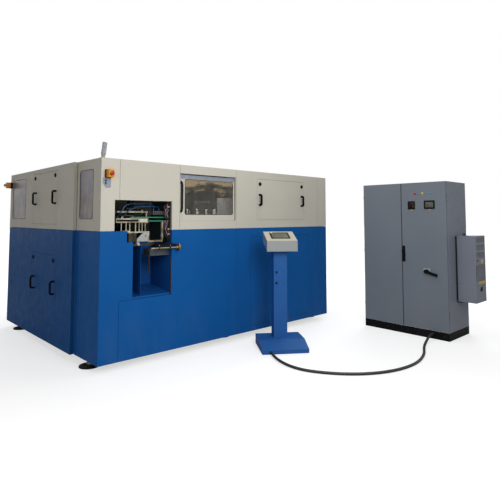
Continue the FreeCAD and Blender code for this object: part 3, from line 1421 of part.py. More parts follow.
def cooling_unit():
    """Cooling unit with two stacks of grilles, hung on the cabinet side."""
    casing = box(COOL_X0, COOL_X1, COOL_Y, CAB_Y0 - GASKET, COOL_Z0, COOL_Z1)
    casing = soften(casing, "z", 12.0)
    cuts = []
    for low in GRILLE_SPOTS:
        for row in range(GRILLE_ROWS):
            z = low + row * SLOT_PITCH
            cuts.append(box(GRILLE_X0, GRILLE_X0 + GRILLE_W, COOL_Y - 1, COOL_Y + SLOT_DEPTH, z, z + SLOT_H))
    cuts.append(rod((COOL_X0 + 190, COOL_Y - 1, 660.0), "y", 24.0, 7))
    casing = casing.cut(Part.makeCompound(cuts))
    gasket = box(COOL_X0 + 12, COOL_X1 - 12, CAB_Y0 - GASKET, CAB_Y0, COOL_Z0 + 12, COOL_Z1 - 12)
    display = box(COOL_X0 + 146, COOL_X0 + 182, COOL_Y - 3, COOL_Y, 615.0, 650.0)
    brackets = [box(x, x + 24, CAB_Y0 - 60, CAB_Y0, COOL_Z0 - 14, COOL_Z0) for x in (COOL_X0 + 20, COOL_X1 - 44)]
    eye = box(COOL_X0 + 14, COOL_X0 + 22, COOL_EYE_Y - 9, COOL_EYE_Y + 9, COOL_Z1, COOL_Z1 + 14)
    eye = eye.fuse(rod((COOL_X0 + 14, COOL_EYE_Y, COOL_Z1 + 16), "x", 15.0, 8.0))
    eye = eye.cut(rod((COOL_X0 + 10, COOL_EYE_Y, COOL_Z1 + 16), "x", 8.0, 16.0))
    return group([casing, gasket, display, eye.removeSplitter()] + brackets)


# ---- floor cable --------------------------------------------------------

CABLE_START = (CAB_X - 2.0, CAB_Y0 + 197.0, 72.0)
CABLE_FLOOR = CABLE_R + CABLE_FIT


def cable_route():
    """Corner points of the cable, laid from the cabinet to the console."""
    z = CABLE_FLOOR
    end = console_point(ENTRY_X, PLINTH_FRONT)
    before = console_point(ENTRY_X, PLINTH_FRONT - 240.0)
    x, y = CABLE_START[0], CABLE_START[1]
    points = [CABLE_START, (x - 118, y, CABLE_START[2]), (x - 278, y - 25, z + 2), (x - 488, y - 102, z),
              (x - 788, y - 257, z), (x - 1148, y - 342, z), (x - 1518, y - 297, z), (x - 1838, y - 127, z),
              (before[0] + 51, before[1] - 613, z), (before[0] - 59, before[1] - 333, z),
              (before[0], before[1], ENTRY_Z), (end[0], end[1], ENTRY_Z)]
    return [V(*p) for p in points]


def console_point(x, y):
    """Machine position of a point in the console's own frame."""
    turn = math.radians(CONSOLE_TURN)
    return (CONSOLE_X + x * math.cos(turn) - y * math.sin(turn),
            CONSOLE_Y + x * math.sin(turn) + y * math.cos(turn))


def bent_path(points):
    """Straight runs joined by arcs that touch them, with its length and bend radii."""
    edges = []
    bends = []
    start = points[0]
    length = 0.0
    for index in range(1, len(points) - 1):
        here = points[index]
        back = here - points[index - 1]
        ahead = points[index + 1] - here
        half_turn = back.getAngle(ahead) / 2.0
        reach = 0.45 * min(back.Length, ahead.Length)
        radius = reach / math.tan(half_turn)
        u = V(back).normalize()
        w = V(ahead).normalize()
        p = here - u * reach
        q = here + w * reach
        inward = (w - u).normalize()
        middle = here + inward * (radius / math.cos(half_turn) - radius)
        edges.append(Part.makeLine(start, p))
        edges.append(Part.Arc(p, middle, q).toShape())
        length += (p - start).Length + radius * 2.0 * half_turn
        bends.append(round(radius, 1))
        start = q
    edges.append(Part.makeLine(start, points[-1]))
    length += (points[-1] - start).Length
    return Part.Wire(edges), length, bends


def supply_cable():
    """Round cable swept along its route."""
    points = cable_route()
    path, length, bends = bent_path(points)
    ring = Part.Wire(Part.makeCircle(CABLE_R, points[0], points[1] - points[0]))
    cable = path.makePipeShell([ring], True, False)
    section = math.pi * CABLE_R ** 2
    print("cable bends mm", bends)
    print("cable length mm", round(length, 1), "volume over section times length",
          round(cable.Volume / (section * length), 4))
    return cable


# ---- build and export ---------------------------------------------------

def latch_nodes():
    """The six cover latches by name."""
    front = front_latch_spots()
    upper = side_latch_spots(SIDE_UP_Z1 - SIDE_LATCH_DOWN)
    lower = side_latch_spots(SIDE_LOW_Z1 - LOW_LATCH_DOWN)
    out_front, out_side = V(0, -1, 0), V(-1, 0, 0)
    return {
        "latch_front_left": latch(front[0], out_front),
        "latch_front_right": latch(front[1], out_front),
        "latch_upper_near": latch(upper[0], out_side),
        "latch_upper_far": latch(upper[1], out_side),
        "latch_lower_near": latch(lower[0], out_side),
        "latch_lower_far": latch(lower[1], out_side)}


def save(node, shape):
    """Move a node to the shared frame and write it."""
    shape = shape.copy()
    shape.translate(SHIFT)
    shape.exportStep("parts/" + node + ".step")
    print(node, "solids", len(shape.Solids), "valid", shape.isValid())


def main():
    """Make every node and write it."""
    os.makedirs("parts", exist_ok=True)
    makers = [
        main_frame, levelling_feet, machine_table, front_corner_panel_upper, front_header_panel,
        front_window_panel, front_cover_panel, front_corner_panel_lower, front_bay_panel,
        front_service_panels, left_panel_upper, left_panel_lower, rear_panels_upper,
        rear_panels_lower, side_windows, door_rail, window_door, window_glass, window_handle,
        front_cover, side_cover_upper, side_cover_lower, estop_boxes, switch_bracket,
        signal_tower, bay_liner, guide_rails, guide_frame, handwheel, air_hoses, oven_wheel,
        preforms, lamp_modules, transfer_star, clamp_frame, stretch_unit, console_stand,
        console_box, console_screen, cabinet_plinth, cabinet_body, mounting_panel,
        cabinet_door_left, cabinet_door_right, door_fittings, lever_boss, lever_handle,
        switch_lever, cooling_unit, supply_cable]
    for maker in makers:
        save(maker.__name__, maker())
    for name, shape in latch_nodes().items():
        save(name, shape)
    save("estop_front_button", stop_button(FRONT_STOP, V(0, -1, 0)))
    save("estop_side_button", stop_button(SIDE_STOP, V(-1, 0, 0)))
    save("mould_left", mould(-1.0))
    save("mould_right", mould(1.0))
    print("shift mm", SHIFT.x, SHIFT.y)


main()
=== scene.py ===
# %% [markdown]
# # Blow moulding machine with its console and control cabinet
# The solids come packed from the CAD model. This script gives them their
# finishes and adds the small pieces that a maker buys in: lenses, glands,
# seals, screws and switches. Everything is in metres, +Z up.

# %% Frame
import math
from functools import reduce

import bpy
import numpy as np
from mathutils import Matrix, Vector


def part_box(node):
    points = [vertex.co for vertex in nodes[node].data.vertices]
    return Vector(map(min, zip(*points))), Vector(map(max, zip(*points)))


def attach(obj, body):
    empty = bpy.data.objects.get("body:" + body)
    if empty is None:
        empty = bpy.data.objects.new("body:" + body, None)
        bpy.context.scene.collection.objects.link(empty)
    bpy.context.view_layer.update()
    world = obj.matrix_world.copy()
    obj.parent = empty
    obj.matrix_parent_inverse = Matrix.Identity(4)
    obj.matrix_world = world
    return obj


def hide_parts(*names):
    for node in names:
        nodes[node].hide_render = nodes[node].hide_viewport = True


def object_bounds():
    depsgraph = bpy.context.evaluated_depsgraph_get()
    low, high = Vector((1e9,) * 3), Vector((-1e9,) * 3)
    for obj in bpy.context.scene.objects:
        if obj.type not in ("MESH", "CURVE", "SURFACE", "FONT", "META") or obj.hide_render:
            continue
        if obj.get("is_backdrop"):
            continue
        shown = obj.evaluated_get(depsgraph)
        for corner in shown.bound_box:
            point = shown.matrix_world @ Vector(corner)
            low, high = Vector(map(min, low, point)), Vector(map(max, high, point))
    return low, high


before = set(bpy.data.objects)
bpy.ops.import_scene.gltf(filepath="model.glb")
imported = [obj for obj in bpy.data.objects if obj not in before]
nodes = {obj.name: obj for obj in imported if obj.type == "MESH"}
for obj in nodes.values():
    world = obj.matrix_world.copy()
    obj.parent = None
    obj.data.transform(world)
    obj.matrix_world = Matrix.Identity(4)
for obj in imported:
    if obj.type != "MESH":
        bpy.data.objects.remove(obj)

cad_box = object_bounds()
print("solids in the frame:", len(nodes))

# %% [markdown]
# Drawings of such a machine measure from one corner of the enclosure, so the
# pieces below are placed from it too, in millimetres. The corner is read from
# the lower corner panel, which starts exactly there.

# %% The machine's own corner
CORNER = np.array(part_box("front_corner_panel_lower")[0]) * (1, 1, 0)
MM = 1000.0


def at(x, y, z):
    """Corner of the machine plus millimetres along X, Y and Z."""
    return CORNER + np.array((x, y, z), float) / MM


X, Y, Z = np.eye(3)
print("machine corner at", np.round(CORNER, 4))

# %% [markdown]
# ## Camera
# The photograph was taken with a short lens from the left of the long front,
# at chest height. Its place was solved from the edges of the enclosure and of
# the cabinet, so the picture is framed with a lens shift and not by turning.

# %% Camera
CAMERA_AT = at(-2026, -4344.8, 1548.1)
LOOK = np.array((0.6824, 0.7282, 0.0649))
FOCAL_PIXELS = 455.59
PICTURE_PIXELS = 500.0
HORIZON_PIXEL = 187.03
SENSOR = 36.0


def unit(vectors):
    """Vectors divided by their lengths."""
    vectors = np.asarray(vectors, float)
    return vectors / np.linalg.norm(vectors, axis=-1, keepdims=True)


def pose(obj, right, up, back, place):
    """Bring an object into the scene, its axes and place as matrix columns."""
    turn = np.eye(4)
    turn[:3] = np.stack([right, up, back, place], 1)
    bpy.context.scene.collection.objects.link(obj)
    obj.matrix_world = Matrix(turn.tolist())
    return obj


def add_camera(place, look):
    """Camera whose -Z axis is the look direction and whose X axis is level."""
    look = unit(look)
    right = unit(np.cross(look, Z))
    data = bpy.data.cameras.new("camera")
    data.sensor_width = SENSOR
    data.lens = SENSOR * FOCAL_PIXELS / PICTURE_PIXELS
    data.shift_y = (HORIZON_PIXEL - PICTURE_PIXELS / 2) / PICTURE_PIXELS
    data.clip_end = 200.0
    camera = bpy.data.objects.new("camera", data)
    bpy.context.scene.camera = camera
    return pose(camera, right, np.cross(right, look), -look, place)


camera = add_camera(CAMERA_AT, LOOK)
print("lens", round(camera.data.lens, 2), "mm, shift", round(camera.data.shift_y, 3))

# %% [markdown]
# ## Surfaces from arrays
# Most bought-in pieces are either turned or have a rounded rectangular
# outline. Both are one idea: a closed outline that is carried through a few
# steps, each with its own inset and height. The points are worked out as whole
# arrays and handed to Blender in one go.

# %% Mesh from loops
def closed_faces(rows, cols, ring=False):
    """Quads between neighbouring loops; columns close, and rows do in a ring."""
    r, c = np.meshgrid(np.arange(rows if ring else rows - 1), np.arange(cols), indexing="ij")
    right, above = (c + 1) % cols, (r + 1) % rows
    quads = np.stack([r * cols + c, r * cols + right, above * cols + right, above * cols + c], -1)
    return quads.reshape(-1, 4).tolist()


def skin(loops, ring=False):
    """Closed body through a stack of loops: centre points at its ends, or a ring."""
    loops = np.asarray(loops, float)
    rows, cols = loops.shape[:2]
    points = loops.reshape(-1, 3)
    faces = closed_faces(rows, cols, ring)
    if not ring:
        points = np.vstack([points, loops[0].mean(0), loops[-1].mean(0)])
        low, here = rows * cols, np.arange(cols)
        after, top = (here + 1) % cols, (rows - 1) * cols
        faces += np.stack([np.full(cols, low), after, here], -1).tolist()
        faces += np.stack([np.full(cols, low + 1), top + here, top + after], -1).tolist()
    return points, faces


SHARP_ANGLE = math.radians(35)


def show(obj, body, slot_name):
    """Bring an object into the scene, riding on a body; its slot name is not used."""
    bpy.context.scene.collection.objects.link(obj)
    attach(obj, body)
    return obj


def piece(name, skins, material, slot_name, body="machine"):
    """One mesh object from several skins, riding on a body of the machine."""
    points = np.vstack([p for p, f in skins])
    starts = np.cumsum([0] + [len(p) for p, f in skins[:-1]])
    faces = [[i + int(s) for i in face] for s, (p, f) in zip(starts, skins) for face in f]
    mesh = bpy.data.meshes.new(name)
    mesh.from_pydata(points.tolist(), [], faces)
    mesh.polygons.foreach_set("use_smooth", np.ones(len(mesh.polygons), bool))
    mesh.set_sharp_from_angle(angle=SHARP_ANGLE)
    mesh.materials.append(material)
    mesh.update()
    print(name, len(mesh.polygons), "faces on", body)
    return show(bpy.data.objects.new(name, mesh), body, slot_name)


# %% Outlines carried through steps
PER_CORNER = 6


def rounded(a, b, r, per_corner=PER_CORNER):
    """Rounded rectangle: four corner centres, each plus a quarter circle."""
    r = max(min(r, a, b), 1e-5)
    turn = np.linspace(0, math.pi / 2, per_corner) + np.arange(4)[:, None] * math.pi / 2.0
    cx = (a - r) * np.array([1, -1, -1, 1])[:, None]
    cy = (b - r) * np.array([1, 1, -1, -1])[:, None]
    return np.stack([cx + r * np.cos(turn), cy + r * np.sin(turn)], -1).reshape(-1, 2)


def axes_of(out, up):
    """Two axes across an outward direction, so that u, v and out turn right."""
    out = unit(out)
    u = unit(np.cross(up, out))
    return u, np.cross(out, u), out


def circle(count, shift=0, turns=1):
    """Cosines and sines of equal steps round some turns, as two columns."""
    angle = (np.arange(count) + shift) * 2.0 * math.pi * turns / count
    return np.cos(angle)[:, None], np.sin(angle)[:, None]


def lifted(centre, axes, flat, height):
    """Flat points in mm brought to a height over a centre, along its axes."""
    u, v, n = axes
    return centre + (flat[:, :1] * u + flat[:, 1:] * v + height * n) / MM


def slab(centre, out, size, radius, steps, up=Z, bore=()):
    """Rounded rectangle carried outwards by steps of (inset, height) in mm.

    A bore goes on from the last step as circles of (radius, height), so that
    the face has a round hole with a floor in it.
    """
    a, b = size[0] / 2.0, size[1] / 2.0
    flats = [(rounded(a - inset, b - inset, radius - inset), height) for inset, height in steps]
    flats += [(r * np.hstack(circle(4 * PER_CORNER, 0.5)), height) for r, height in bore]
    axes = axes_of(out, up)
    return skin([lifted(centre, axes, flat, height) for flat, height in flats])


def plate(centre, out, size, radius, thickness, soft=1, up=Z):
    """Slab with its outer edge softened by two steps."""
    steps = [(0, 0), (0, thickness - soft), (0.3 * soft, thickness - 0.3 * soft), (soft, thickness)]
    return slab(centre, out, size, radius, steps, up)


def turned(centre, axis, profile, count=40, ribs=0, rib=0, ring=False):
    """Radius and height in mm carried round an axis.

    With ribs, the radius swells and shrinks that many times in one turn.
    """
    u, v, n = axes_of(axis, X if abs(axis[2]) > 0.9 else Z)
    c, s = circle(count)
    around = (1.0 + rib * circle(count, turns=ribs)[0]) * (c * u + s * v)
    profile = np.maximum(np.asarray(profile, float), (0.01, -1e9)) / MM
    return skin(centre + profile[:, None, :1] * around + profile[:, None, 1:] * n, ring)


def tube(path, radius, count=12):
    """Circle carried along a path, square to its direction at each point."""
    path = np.asarray(path, float)
    along = unit(np.gradient(path, axis=0))
    least = int(np.argmin(np.abs(along).max(axis=0)))
    side = unit(np.cross(along, np.eye(3)[least]))
    third = np.cross(along, side)
    c, s = circle(count)
    return skin(path[:, None] + (side[:, None] * c + third[:, None] * s) * radius / MM)


def curve_through(points, count=40):
    """Smooth path through points: each coordinate is a Catmull-Rom spline."""
    p = np.asarray(points, float)
    p = np.vstack([2 * p[0] - p[1], p, 2 * p[-1] - p[-2]])
    t = np.linspace(0, len(p) - 3 - 1e-9, count)
    i = t.astype(int)
    f = (t - i)[:, None]
    a, b, c, d = p[i], p[i + 1], p[i + 2], p[i + 3]
    return 0.5 * (2 * b + (c - a) * f + (2 * a - 5 * b + 4 * c - d) * f ** 2
        + (3 * b - a - 3 * c + d) * f ** 3)


# %% [markdown]
# ## Finishes
# Powder coat is never quite flat: it has a fine orange peel, a little cloud in
# its gloss, and it gathers dust near the floor. Each finish is a small network
# on Object coordinates, so its grain keeps its real size on every piece.

# %% Node helpers
def linear(rgb):
    """Screen colour from 0 to 255 turned into scene-linear values."""
    c = np.asarray(rgb, float) / 255.0
    lin = np.where(c <= 0.04045, c / 12.92, ((c + 0.055) / 1.055) ** 2.4)
    return (*lin.tolist(), 1)


def into(node, inputs):
    """Link a socket into each named input of a node, or set a plain value."""
    for key, value in dict(inputs).items():
        if isinstance(value, bpy.types.NodeSocket):
            node.id_data.links.new(value, node.inputs[key])
        else:
            node.inputs[key].default_value = value


def add(tree, kind, inputs=(), **settings):
    """Node of one kind with its settings and what goes into its inputs."""
    node = tree.nodes.new("ShaderNode" + kind)
    for key, value in settings.items():
        setattr(node, key, value)
    into(node, inputs)
    return node


def empty_tree(holder):
    """Cleared network of a new material or world."""
    holder.use_nodes = True
    holder.node_tree.nodes.clear()
    return holder.node_tree


RECIPES = {}


def finish_of(name, build):
    """Material whose shader a recipe builds; the recipe is kept for mixing."""
    material = bpy.data.materials.new(name)
    tree = empty_tree(material)
    add(tree, "OutputMaterial", {"Surface": build(tree)})
    RECIPES[material] = build
    return material


def shader(tree, inputs):
    """Output of a principled shader with these inputs."""
    return add(tree, "BsdfPrincipled", inputs).outputs["BSDF"]


def noise(tree, scale, detail=2, stretch=(1, 1, 1)):
    """Noise on Object coordinates, stretched by a Mapping node."""
    coord = add(tree, "TexCoord").outputs["Object"]
    where = add(tree, "Mapping", {"Scale": stretch, "Vector": coord}).outputs["Vector"]
    return add(tree, "TexNoise", {"Scale": scale, "Detail": detail, "Vector": where}).outputs["Fac"]


def ranged(tree, value, low, high, to_low=0, to_high=1):
    """Map Range node from one span of values to another."""
    return add(tree, "MapRange", {"Value": value, "From Min": low, "From Max": high,
        "To Min": to_low, "To Max": to_high}).outputs["Result"]


def mixed(tree, factor, first, second):
    """Colour between two colours, each a socket or four numbers."""
    return add(tree, "Mix", {0: factor, 6: first, 7: second}, data_type="RGBA").outputs[2]


def maths(tree, operation, *values):
    """Math node on sockets and numbers."""
    return add(tree, "Math", enumerate(values), operation=operation).outputs[0]


def joined(tree, operation, sockets):
    """Many sockets brought to one by the same operation, two at a time."""
    return reduce(lambda first, second: maths(tree, operation, first, second), sockets)


def soft_edges(tree, radius):
    """Bevel node: its normal rounds the edges, and its turn from the true one
    marks the edges, where a finish wears first and where paint puts a painted
    highlight."""
    bevel = add(tree, "Bevel", {"Radius": radius}, samples=4).outputs["Normal"]
    true = add(tree, "NewGeometry").outputs["Normal"]
    dot = add(tree, "VectorMath", {0: bevel, 1: true}, operation="DOT_PRODUCT")
    return bevel, ranged(tree, dot.outputs["Value"], 0.97, 0.8)


def bumped(tree, height, distance, strength, normal=None):
    """Normal bent by a height, on top of another normal if one is given."""
    bump = add(tree, "Bump", {"Height": height, "Distance": distance, "Strength": strength})
    if normal is not None:
        into(bump, {"Normal": normal})
    return bump.outputs["Normal"]


def coords(tree, kind="Object"):
    """X, Y and Z of the Object coordinates, whose Z is the height above the
    floor, or of another output of the same node."""
    coord = add(tree, "TexCoord").outputs[kind]
    return add(tree, "SeparateXYZ", {"Vector": coord}).outputs


# %% Painted sheet
DUST = linear((148, 140, 126))


def shaded(rgb, factor):
    """The same colour, lighter or darker by a factor."""
    return tuple(min(1, c * factor) for c in linear(rgb)[:3]) + (1,)


EDGE_RADIUS = 0.0015
DUST_FROM, DUST_TO = 0.75, 0.02


def paint(name, rgb, rough=0.38, cloud=0.07, peel=0.00012, dust=0.25, coat=0.15, gloss=0.5):
    """Powder coat: two shades mixed by a cloud, orange peel, floor dust and
    edges that are rounded and painted lighter in places, as wear and as a
    painted highlight."""
    def build(tree):
        clouds = ranged(tree, noise(tree, 1.7, 4), 0.3, 0.7)
        base = mixed(tree, clouds, shaded(rgb, 1.0 - cloud), shaded(rgb, 1.0 + cloud))
        normal, rim = soft_edges(tree, EDGE_RADIUS)
        # painted highlight and wear: rounded edges are painted lighter in places
        edge_wear_and_highlight = ranged(tree, noise(tree, 22, 4), 0.45, 0.7, 0, 0.45)
        base = mixed(tree, maths(tree, "MULTIPLY", rim, edge_wear_and_highlight), base, shaded(rgb, 1.7))
        low = ranged(tree, coords(tree)["Z"], DUST_TO, DUST_FROM, 1, 0)
        smear = ranged(tree, noise(tree, 5, 5, (1, 1, 0.35)), 0.45, 0.8, 0, dust)
        return shader(tree, {
            "Base Color": mixed(tree, maths(tree, "MULTIPLY", low, smear), base, DUST),
            "Roughness": ranged(tree, noise(tree, 9, 3), 0.3, 0.7, rough - 0.06, rough + 0.08),
            "Normal": bumped(tree, noise(tree, 420), peel, 0.35, normal),
            "Specular IOR Level": gloss, "Coat Weight": coat, "Coat Roughness": 0.18})
    return finish_of(name, build)


# %% Metal, plastic and rubber
def metal(name, rgb, rough=0.32, stretch=(1, 1, 60), scale=18, patina=None, bare=1):
    """Drawn or milled metal: fine lines along one axis and a worn cloud."""
    def build(tree):
        lines = noise(tree, scale, 3, stretch)
        cloud = ranged(tree, noise(tree, 14, 4), 0.35, 0.65)
        other = linear(patina) if patina else shaded(rgb, 0.82)
        return shader(tree, {
            "Base Color": mixed(tree, cloud, other, shaded(rgb, 1.054)),
            "Roughness": ranged(tree, lines, 0.25, 0.75, rough - 0.1, rough + 0.12),
            "Normal": bumped(tree, lines, 0.00008, 0.5), "Metallic": bare})
    return finish_of(name, build)


def plastic(name, rgb, rough=0.4, grain=0.00006, grain_scale=700, shade=0.06, gloss=0.5,
            more=()):
    """Moulded plastic: fine spark grain and a slight change of shade."""
    def build(tree):
        cloud = ranged(tree, noise(tree, 30, 3), 0.3, 0.7)
        return shader(tree, {
            "Base Color": mixed(tree, cloud, shaded(rgb, 1.0 - shade), shaded(rgb, 1.0 + shade)),
            "Roughness": ranged(tree, noise(tree, 60), 0.3, 0.7, rough - 0.05, rough + 0.07),
            "Normal": bumped(tree, noise(tree, grain_scale), grain, 0.5),
            "Specular IOR Level": gloss, **dict(more)})
    return finish_of(name, build)


def lens(name, rgb, glow, rough=0.18, through=0.1):
    """Clear coloured plastic that lets part of the light through."""
    return plastic(name, rgb, rough, 0.00003, 400, 0.08, more={
        "Transmission Weight": through, "IOR": 1.49,
        "Emission Color": linear(rgb), "Emission Strength": glow})


def window_film(name, rgb, upper, facing, edge_on, smear_and_reflection, stretch, rough=0.05):
    """Window pane under a film: it closes towards its upper edge and where it is
    seen edge on, and there its colour is a painted reflection, warm towards the
    upper edge. Patches of another colour are smears in the film, which carry a
    painted reflection."""
    def build(tree):
        wave = ranged(tree, noise(tree, 6, 5, (0.6, 0.6, 1.6)), 0.3, 0.7, -0.09, 0.09)
        # painted reflection: towards the upper edge the pane takes the warm upper colour and closes
        high = ranged(tree, maths(tree, "ADD", coords(tree)["Z"], wave), 1.83, 1.91)
        streak = mixed(tree, ranged(tree, noise(tree, 12, 6, (1, 1, 0.6)), 0.38, 0.64),
            shaded(rgb, 0.62), shaded(rgb, 1.3))
        spots = ranged(tree, noise(tree, 7, 5, stretch), 0.55, 0.68, 0, 0.8)
        film = mixed(tree, high, streak, linear(upper))
        weight = add(tree, "LayerWeight", {"Blend": 0.35})
        view = ranged(tree, weight.outputs["Facing"], 0.1, 0.95, facing, edge_on)
        smudge = noise(tree, 7, 5, (1, 1, 0.4))
        return shader(tree, {
            "Base Color": mixed(tree, spots, film, linear(smear_and_reflection)),
            "Roughness": ranged(tree, smudge, 0.4, 0.75, rough, rough + 0.12),
            "Alpha": maths(tree, "MAXIMUM", view, maths(tree, "MULTIPLY", high, 0.62)),
            "Specular IOR Level": 0.9})
    return finish_of(name, build)


# %% [markdown]
# The covers carry black handles on painted sheet, and the bars in the bay are
# painted, oiled and bare in one set of solids. One material then holds both
# finishes and picks between them by the Object coordinates: on one side of a
# plane, or inside a box.

# %% Two finishes in one material
def two_finishes(name, outside, inside, mask):
    """Material that shows one finish, and the other where the mask is 1."""
    def build(tree):
        both = mask(tree), RECIPES[outside](tree), RECIPES[inside](tree)
        return add(tree, "MixShader", enumerate(both)).outputs[0]
    return finish_of(name, build)


# %% Masks by place
def beyond(axis, place, operation="GREATER_THAN"):
    """Mask that is 1 on one side of a plane across an axis."""
    return lambda tree: maths(tree, operation, coords(tree)[axis], float(place))


def inside_box(low, high):
    """Mask that is 1 in a box between two points in the machine's
    millimetres: each coordinate lies near enough the middle."""
    low, high = at(*low), at(*high)

    def build(tree):
        where = coords(tree)
        return joined(tree, "MULTIPLY", [
            maths(tree, "COMPARE", where[axis], float(a + b) / 2, float(b - a) / 2)
            for axis, a, b in zip("XYZ", low, high)])
    return build


def facing_up(least):
    """Mask that is 1 where a face looks upwards enough."""
    return lambda tree: maths(tree, "GREATER_THAN", coords(tree, "Normal")["Z"], least)


def any_of(masks):
    """Mask that is 1 where any of several masks is."""
    return lambda tree: joined(tree, "MAXIMUM", [mask(tree) for mask in masks])


# %% The finishes of this machine
beige = paint("beige_powder_coat", (200, 196, 183), 0.5, 0.03, coat=0, gloss=0.25)
blue = paint("blue_powder_coat", (14, 86, 154), 0.45, 0.05, dust=0.08, coat=0, gloss=0.1)
# painted shade: the next blue is a darker copy of the blue paint, for the left side
blue_painted_shade = paint("blue_painted_shade", (6, 78, 141), 0.45, 0.05, dust=0, coat=0, gloss=0.1)
stand_blue = paint("stand_blue", (36, 92, 158), 0.4, 0.05, dust=0.05, coat=0, gloss=0.2)
liner_blue = paint("bay_blue", (14, 72, 136), 0.34, 0.12, coat=0, gloss=0.3)
# painted shade: the next grey darkens the upper bay, which lies in shade
bay_shade_dark = paint("bay_shade_dark", (44, 52, 54), 0.5, 0.2, dust=0)
frame_grey = paint("frame_grey", (104, 110, 118), 0.5, 0.1)
cabinet_grey = paint("cabinet_grey", (118, 125, 134), 0.52, 0.04, 0.0002, coat=0, gloss=0.3)
body_grey = paint("body_grey", (130, 137, 149), 0.52, 0.04, 0.0002, coat=0, gloss=0.3)
unit_grey = paint("unit_grey", (124, 130, 144), 0.42, 0.05)
desk_grey = paint("desk_grey", (148, 152, 152), 0.4, 0.04)
# painted light: the next cream is the desk's top, lighter because it faces the light from above
desk_top_painted_light = paint("desk_top_painted_light", (190, 184, 166), 0.45, 0.05, coat=0, gloss=0.3)
guard_grey = paint("guard_grey", (150, 149, 144), 0.45, 0.06, dust=0)
pale_grey = paint("pale_grey", (176, 178, 174), 0.42, 0.05, dust=0)
pocket_grey = paint("pocket_grey", (64, 72, 78), 0.45, 0.1, dust=0)
valve_grey = paint("valve_grey", (96, 98, 102), 0.4, 0.15, dust=0)
bracket_grey = paint("bracket_grey", (136, 143, 153), 0.4, 0.04, dust=0)
plinth_black = paint("plinth_black", (12, 13, 16), 0.55, 0.12, dust=0.03, coat=0, gloss=0.12)
steel = metal("milled_steel", (168, 168, 162), 0.34)
dark_steel = metal("oiled_steel", (84, 78, 68), 0.4, (60, 1, 1), patina=(58, 50, 42))
weathered = metal("weathered_bar", (196, 190, 168), 0.5, (60, 1, 1), patina=(128, 116, 90),
    bare=0.35)
rail_metal = metal("anodised_rail", (152, 157, 168), 0.42, (60, 1, 1), bare=0.4)
brass = metal("brass", (196, 150, 70), 0.3, (1, 1, 1), 30, patina=(120, 92, 44))
tool_steel = metal("mould_steel", (150, 154, 158), 0.26, (1, 60, 1))
black = plastic("black_plastic", (12, 13, 17), 0.5, gloss=0.12)
sleeve_black = plastic("sleeve_black", (7, 8, 11), 0.6, gloss=0.06)
rubber = plastic("black_rubber", (26, 26, 27), 0.75, 0.0002, 300, gloss=0.2)
yellow = plastic("yellow_plastic", (222, 138, 6), 0.42, gloss=0.25)
red = plastic("red_plastic", (166, 14, 28), 0.32, gloss=0.35)
green = plastic("green_guide", (34, 138, 104), 0.4)
hose_blue = plastic("blue_hose", (18, 70, 112), 0.25)
preform_white = plastic("preform_plastic", (196, 186, 170), 0.22)
housing_white = plastic("housing_white", (206, 207, 208), 0.35)
yellow_field = plastic("yellow_field", (214, 176, 40), 0.45)
# painted reflection: the warm top of the front pane, and the colour and lavender patches of the side panes
front_glass = window_film("front_glass", (104, 100, 92), (168, 146, 106), 0.18, 0.5, (70, 66, 60),
    (1, 1, 2.4))
side_glass = window_film("side_glass", (136, 128, 126), (140, 134, 140), 0.72, 0.95,
    (104, 104, 138), (1, 1, 1), 0.3)
print("finishes:", len(bpy.data.materials))

# %% Finish of each solid
FRONT_FACE = CORNER[1]
SIDE_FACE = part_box("left_panel_upper")[0][0]
PROUD = 0.0006
DARK_FROM, ARMS_TO, FEET_TO = 1.262, 1.2655, 0.026


def with_handles(name, finish, axis, face):
    """Cover's paint, and black for what stands out from its face."""
    return two_finishes(name, finish, black, beyond(axis, face - PROUD, "LESS_THAN"))


cover_front = with_handles("front_cover_finish", beige, "Y", FRONT_FACE)
cover_up = with_handles("side_cover_finish", beige, "X", SIDE_FACE)
cover_low = with_handles("low_cover_finish", blue_painted_shade, "X", SIDE_FACE)
# painted shade: the liner is painted dark above DARK_FROM, where the deep upper bay lies in shade
bay_walls = two_finishes("bay_walls", liner_blue, bay_shade_dark, beyond("Z", DARK_FROM))
frame_bars = two_finishes("bar_arms", weathered, dark_steel, beyond("Z", ARMS_TO, "LESS_THAN"))
grille_grey = paint("grille_grey", (104, 110, 120), 0.42, 0.05)
GRILLES = (736, 810, 879, 1035, 1129, 1222)
grilles = [inside_box((3980, -2091, low - 6), (4230, -2083, low + 65)) for low in GRILLES]
unit_finish = two_finishes("unit_finish", unit_grey, grille_grey, any_of(grilles))


def boxes_on(base, places):
    """Finish with others in boxes of it: name, finish and two corners each."""
    for name, finish, low, high in places:
        base = two_finishes(name, base, finish, inside_box(low, high))
    return base


bay_walls = boxes_on(bay_walls, [
    ("bay_finish", pocket_grey, (604, 59, 1119), (844.6, 201, 1197))])
frame_bars = boxes_on(frame_bars, [
    ("bar_motor", dark_steel, (371, 109, 1266.5), (465, 181, 1371.5)),
    ("bar_valves", valve_grey, (689, 143, 1567), (846, 211, 1611)),
    ("bar_gusset", pale_grey, (474, 89, 1228), (623, 144.5, 1371.5)),
    ("bar_front", black, (654.5, -63, 1221.5), (861, -33, 1251))])
unit_finish = boxes_on(unit_finish, [
    ("unit_with_feet", rubber, (3950, -1905, 455), (4260, -1839, 469.8)),
    ("unit_and_gasket", rubber, (3951, -1859.8, 480), (4259, -1839, 1294))])
# painted light: faces looking up are painted a lighter cream, as the desk's top catches light from above
desk_finish = two_finishes("desk_finish", desk_grey, desk_top_painted_light, facing_up(0.5))
feet_finish = two_finishes("feet_finish", rubber, steel, beyond("Z", FEET_TO))
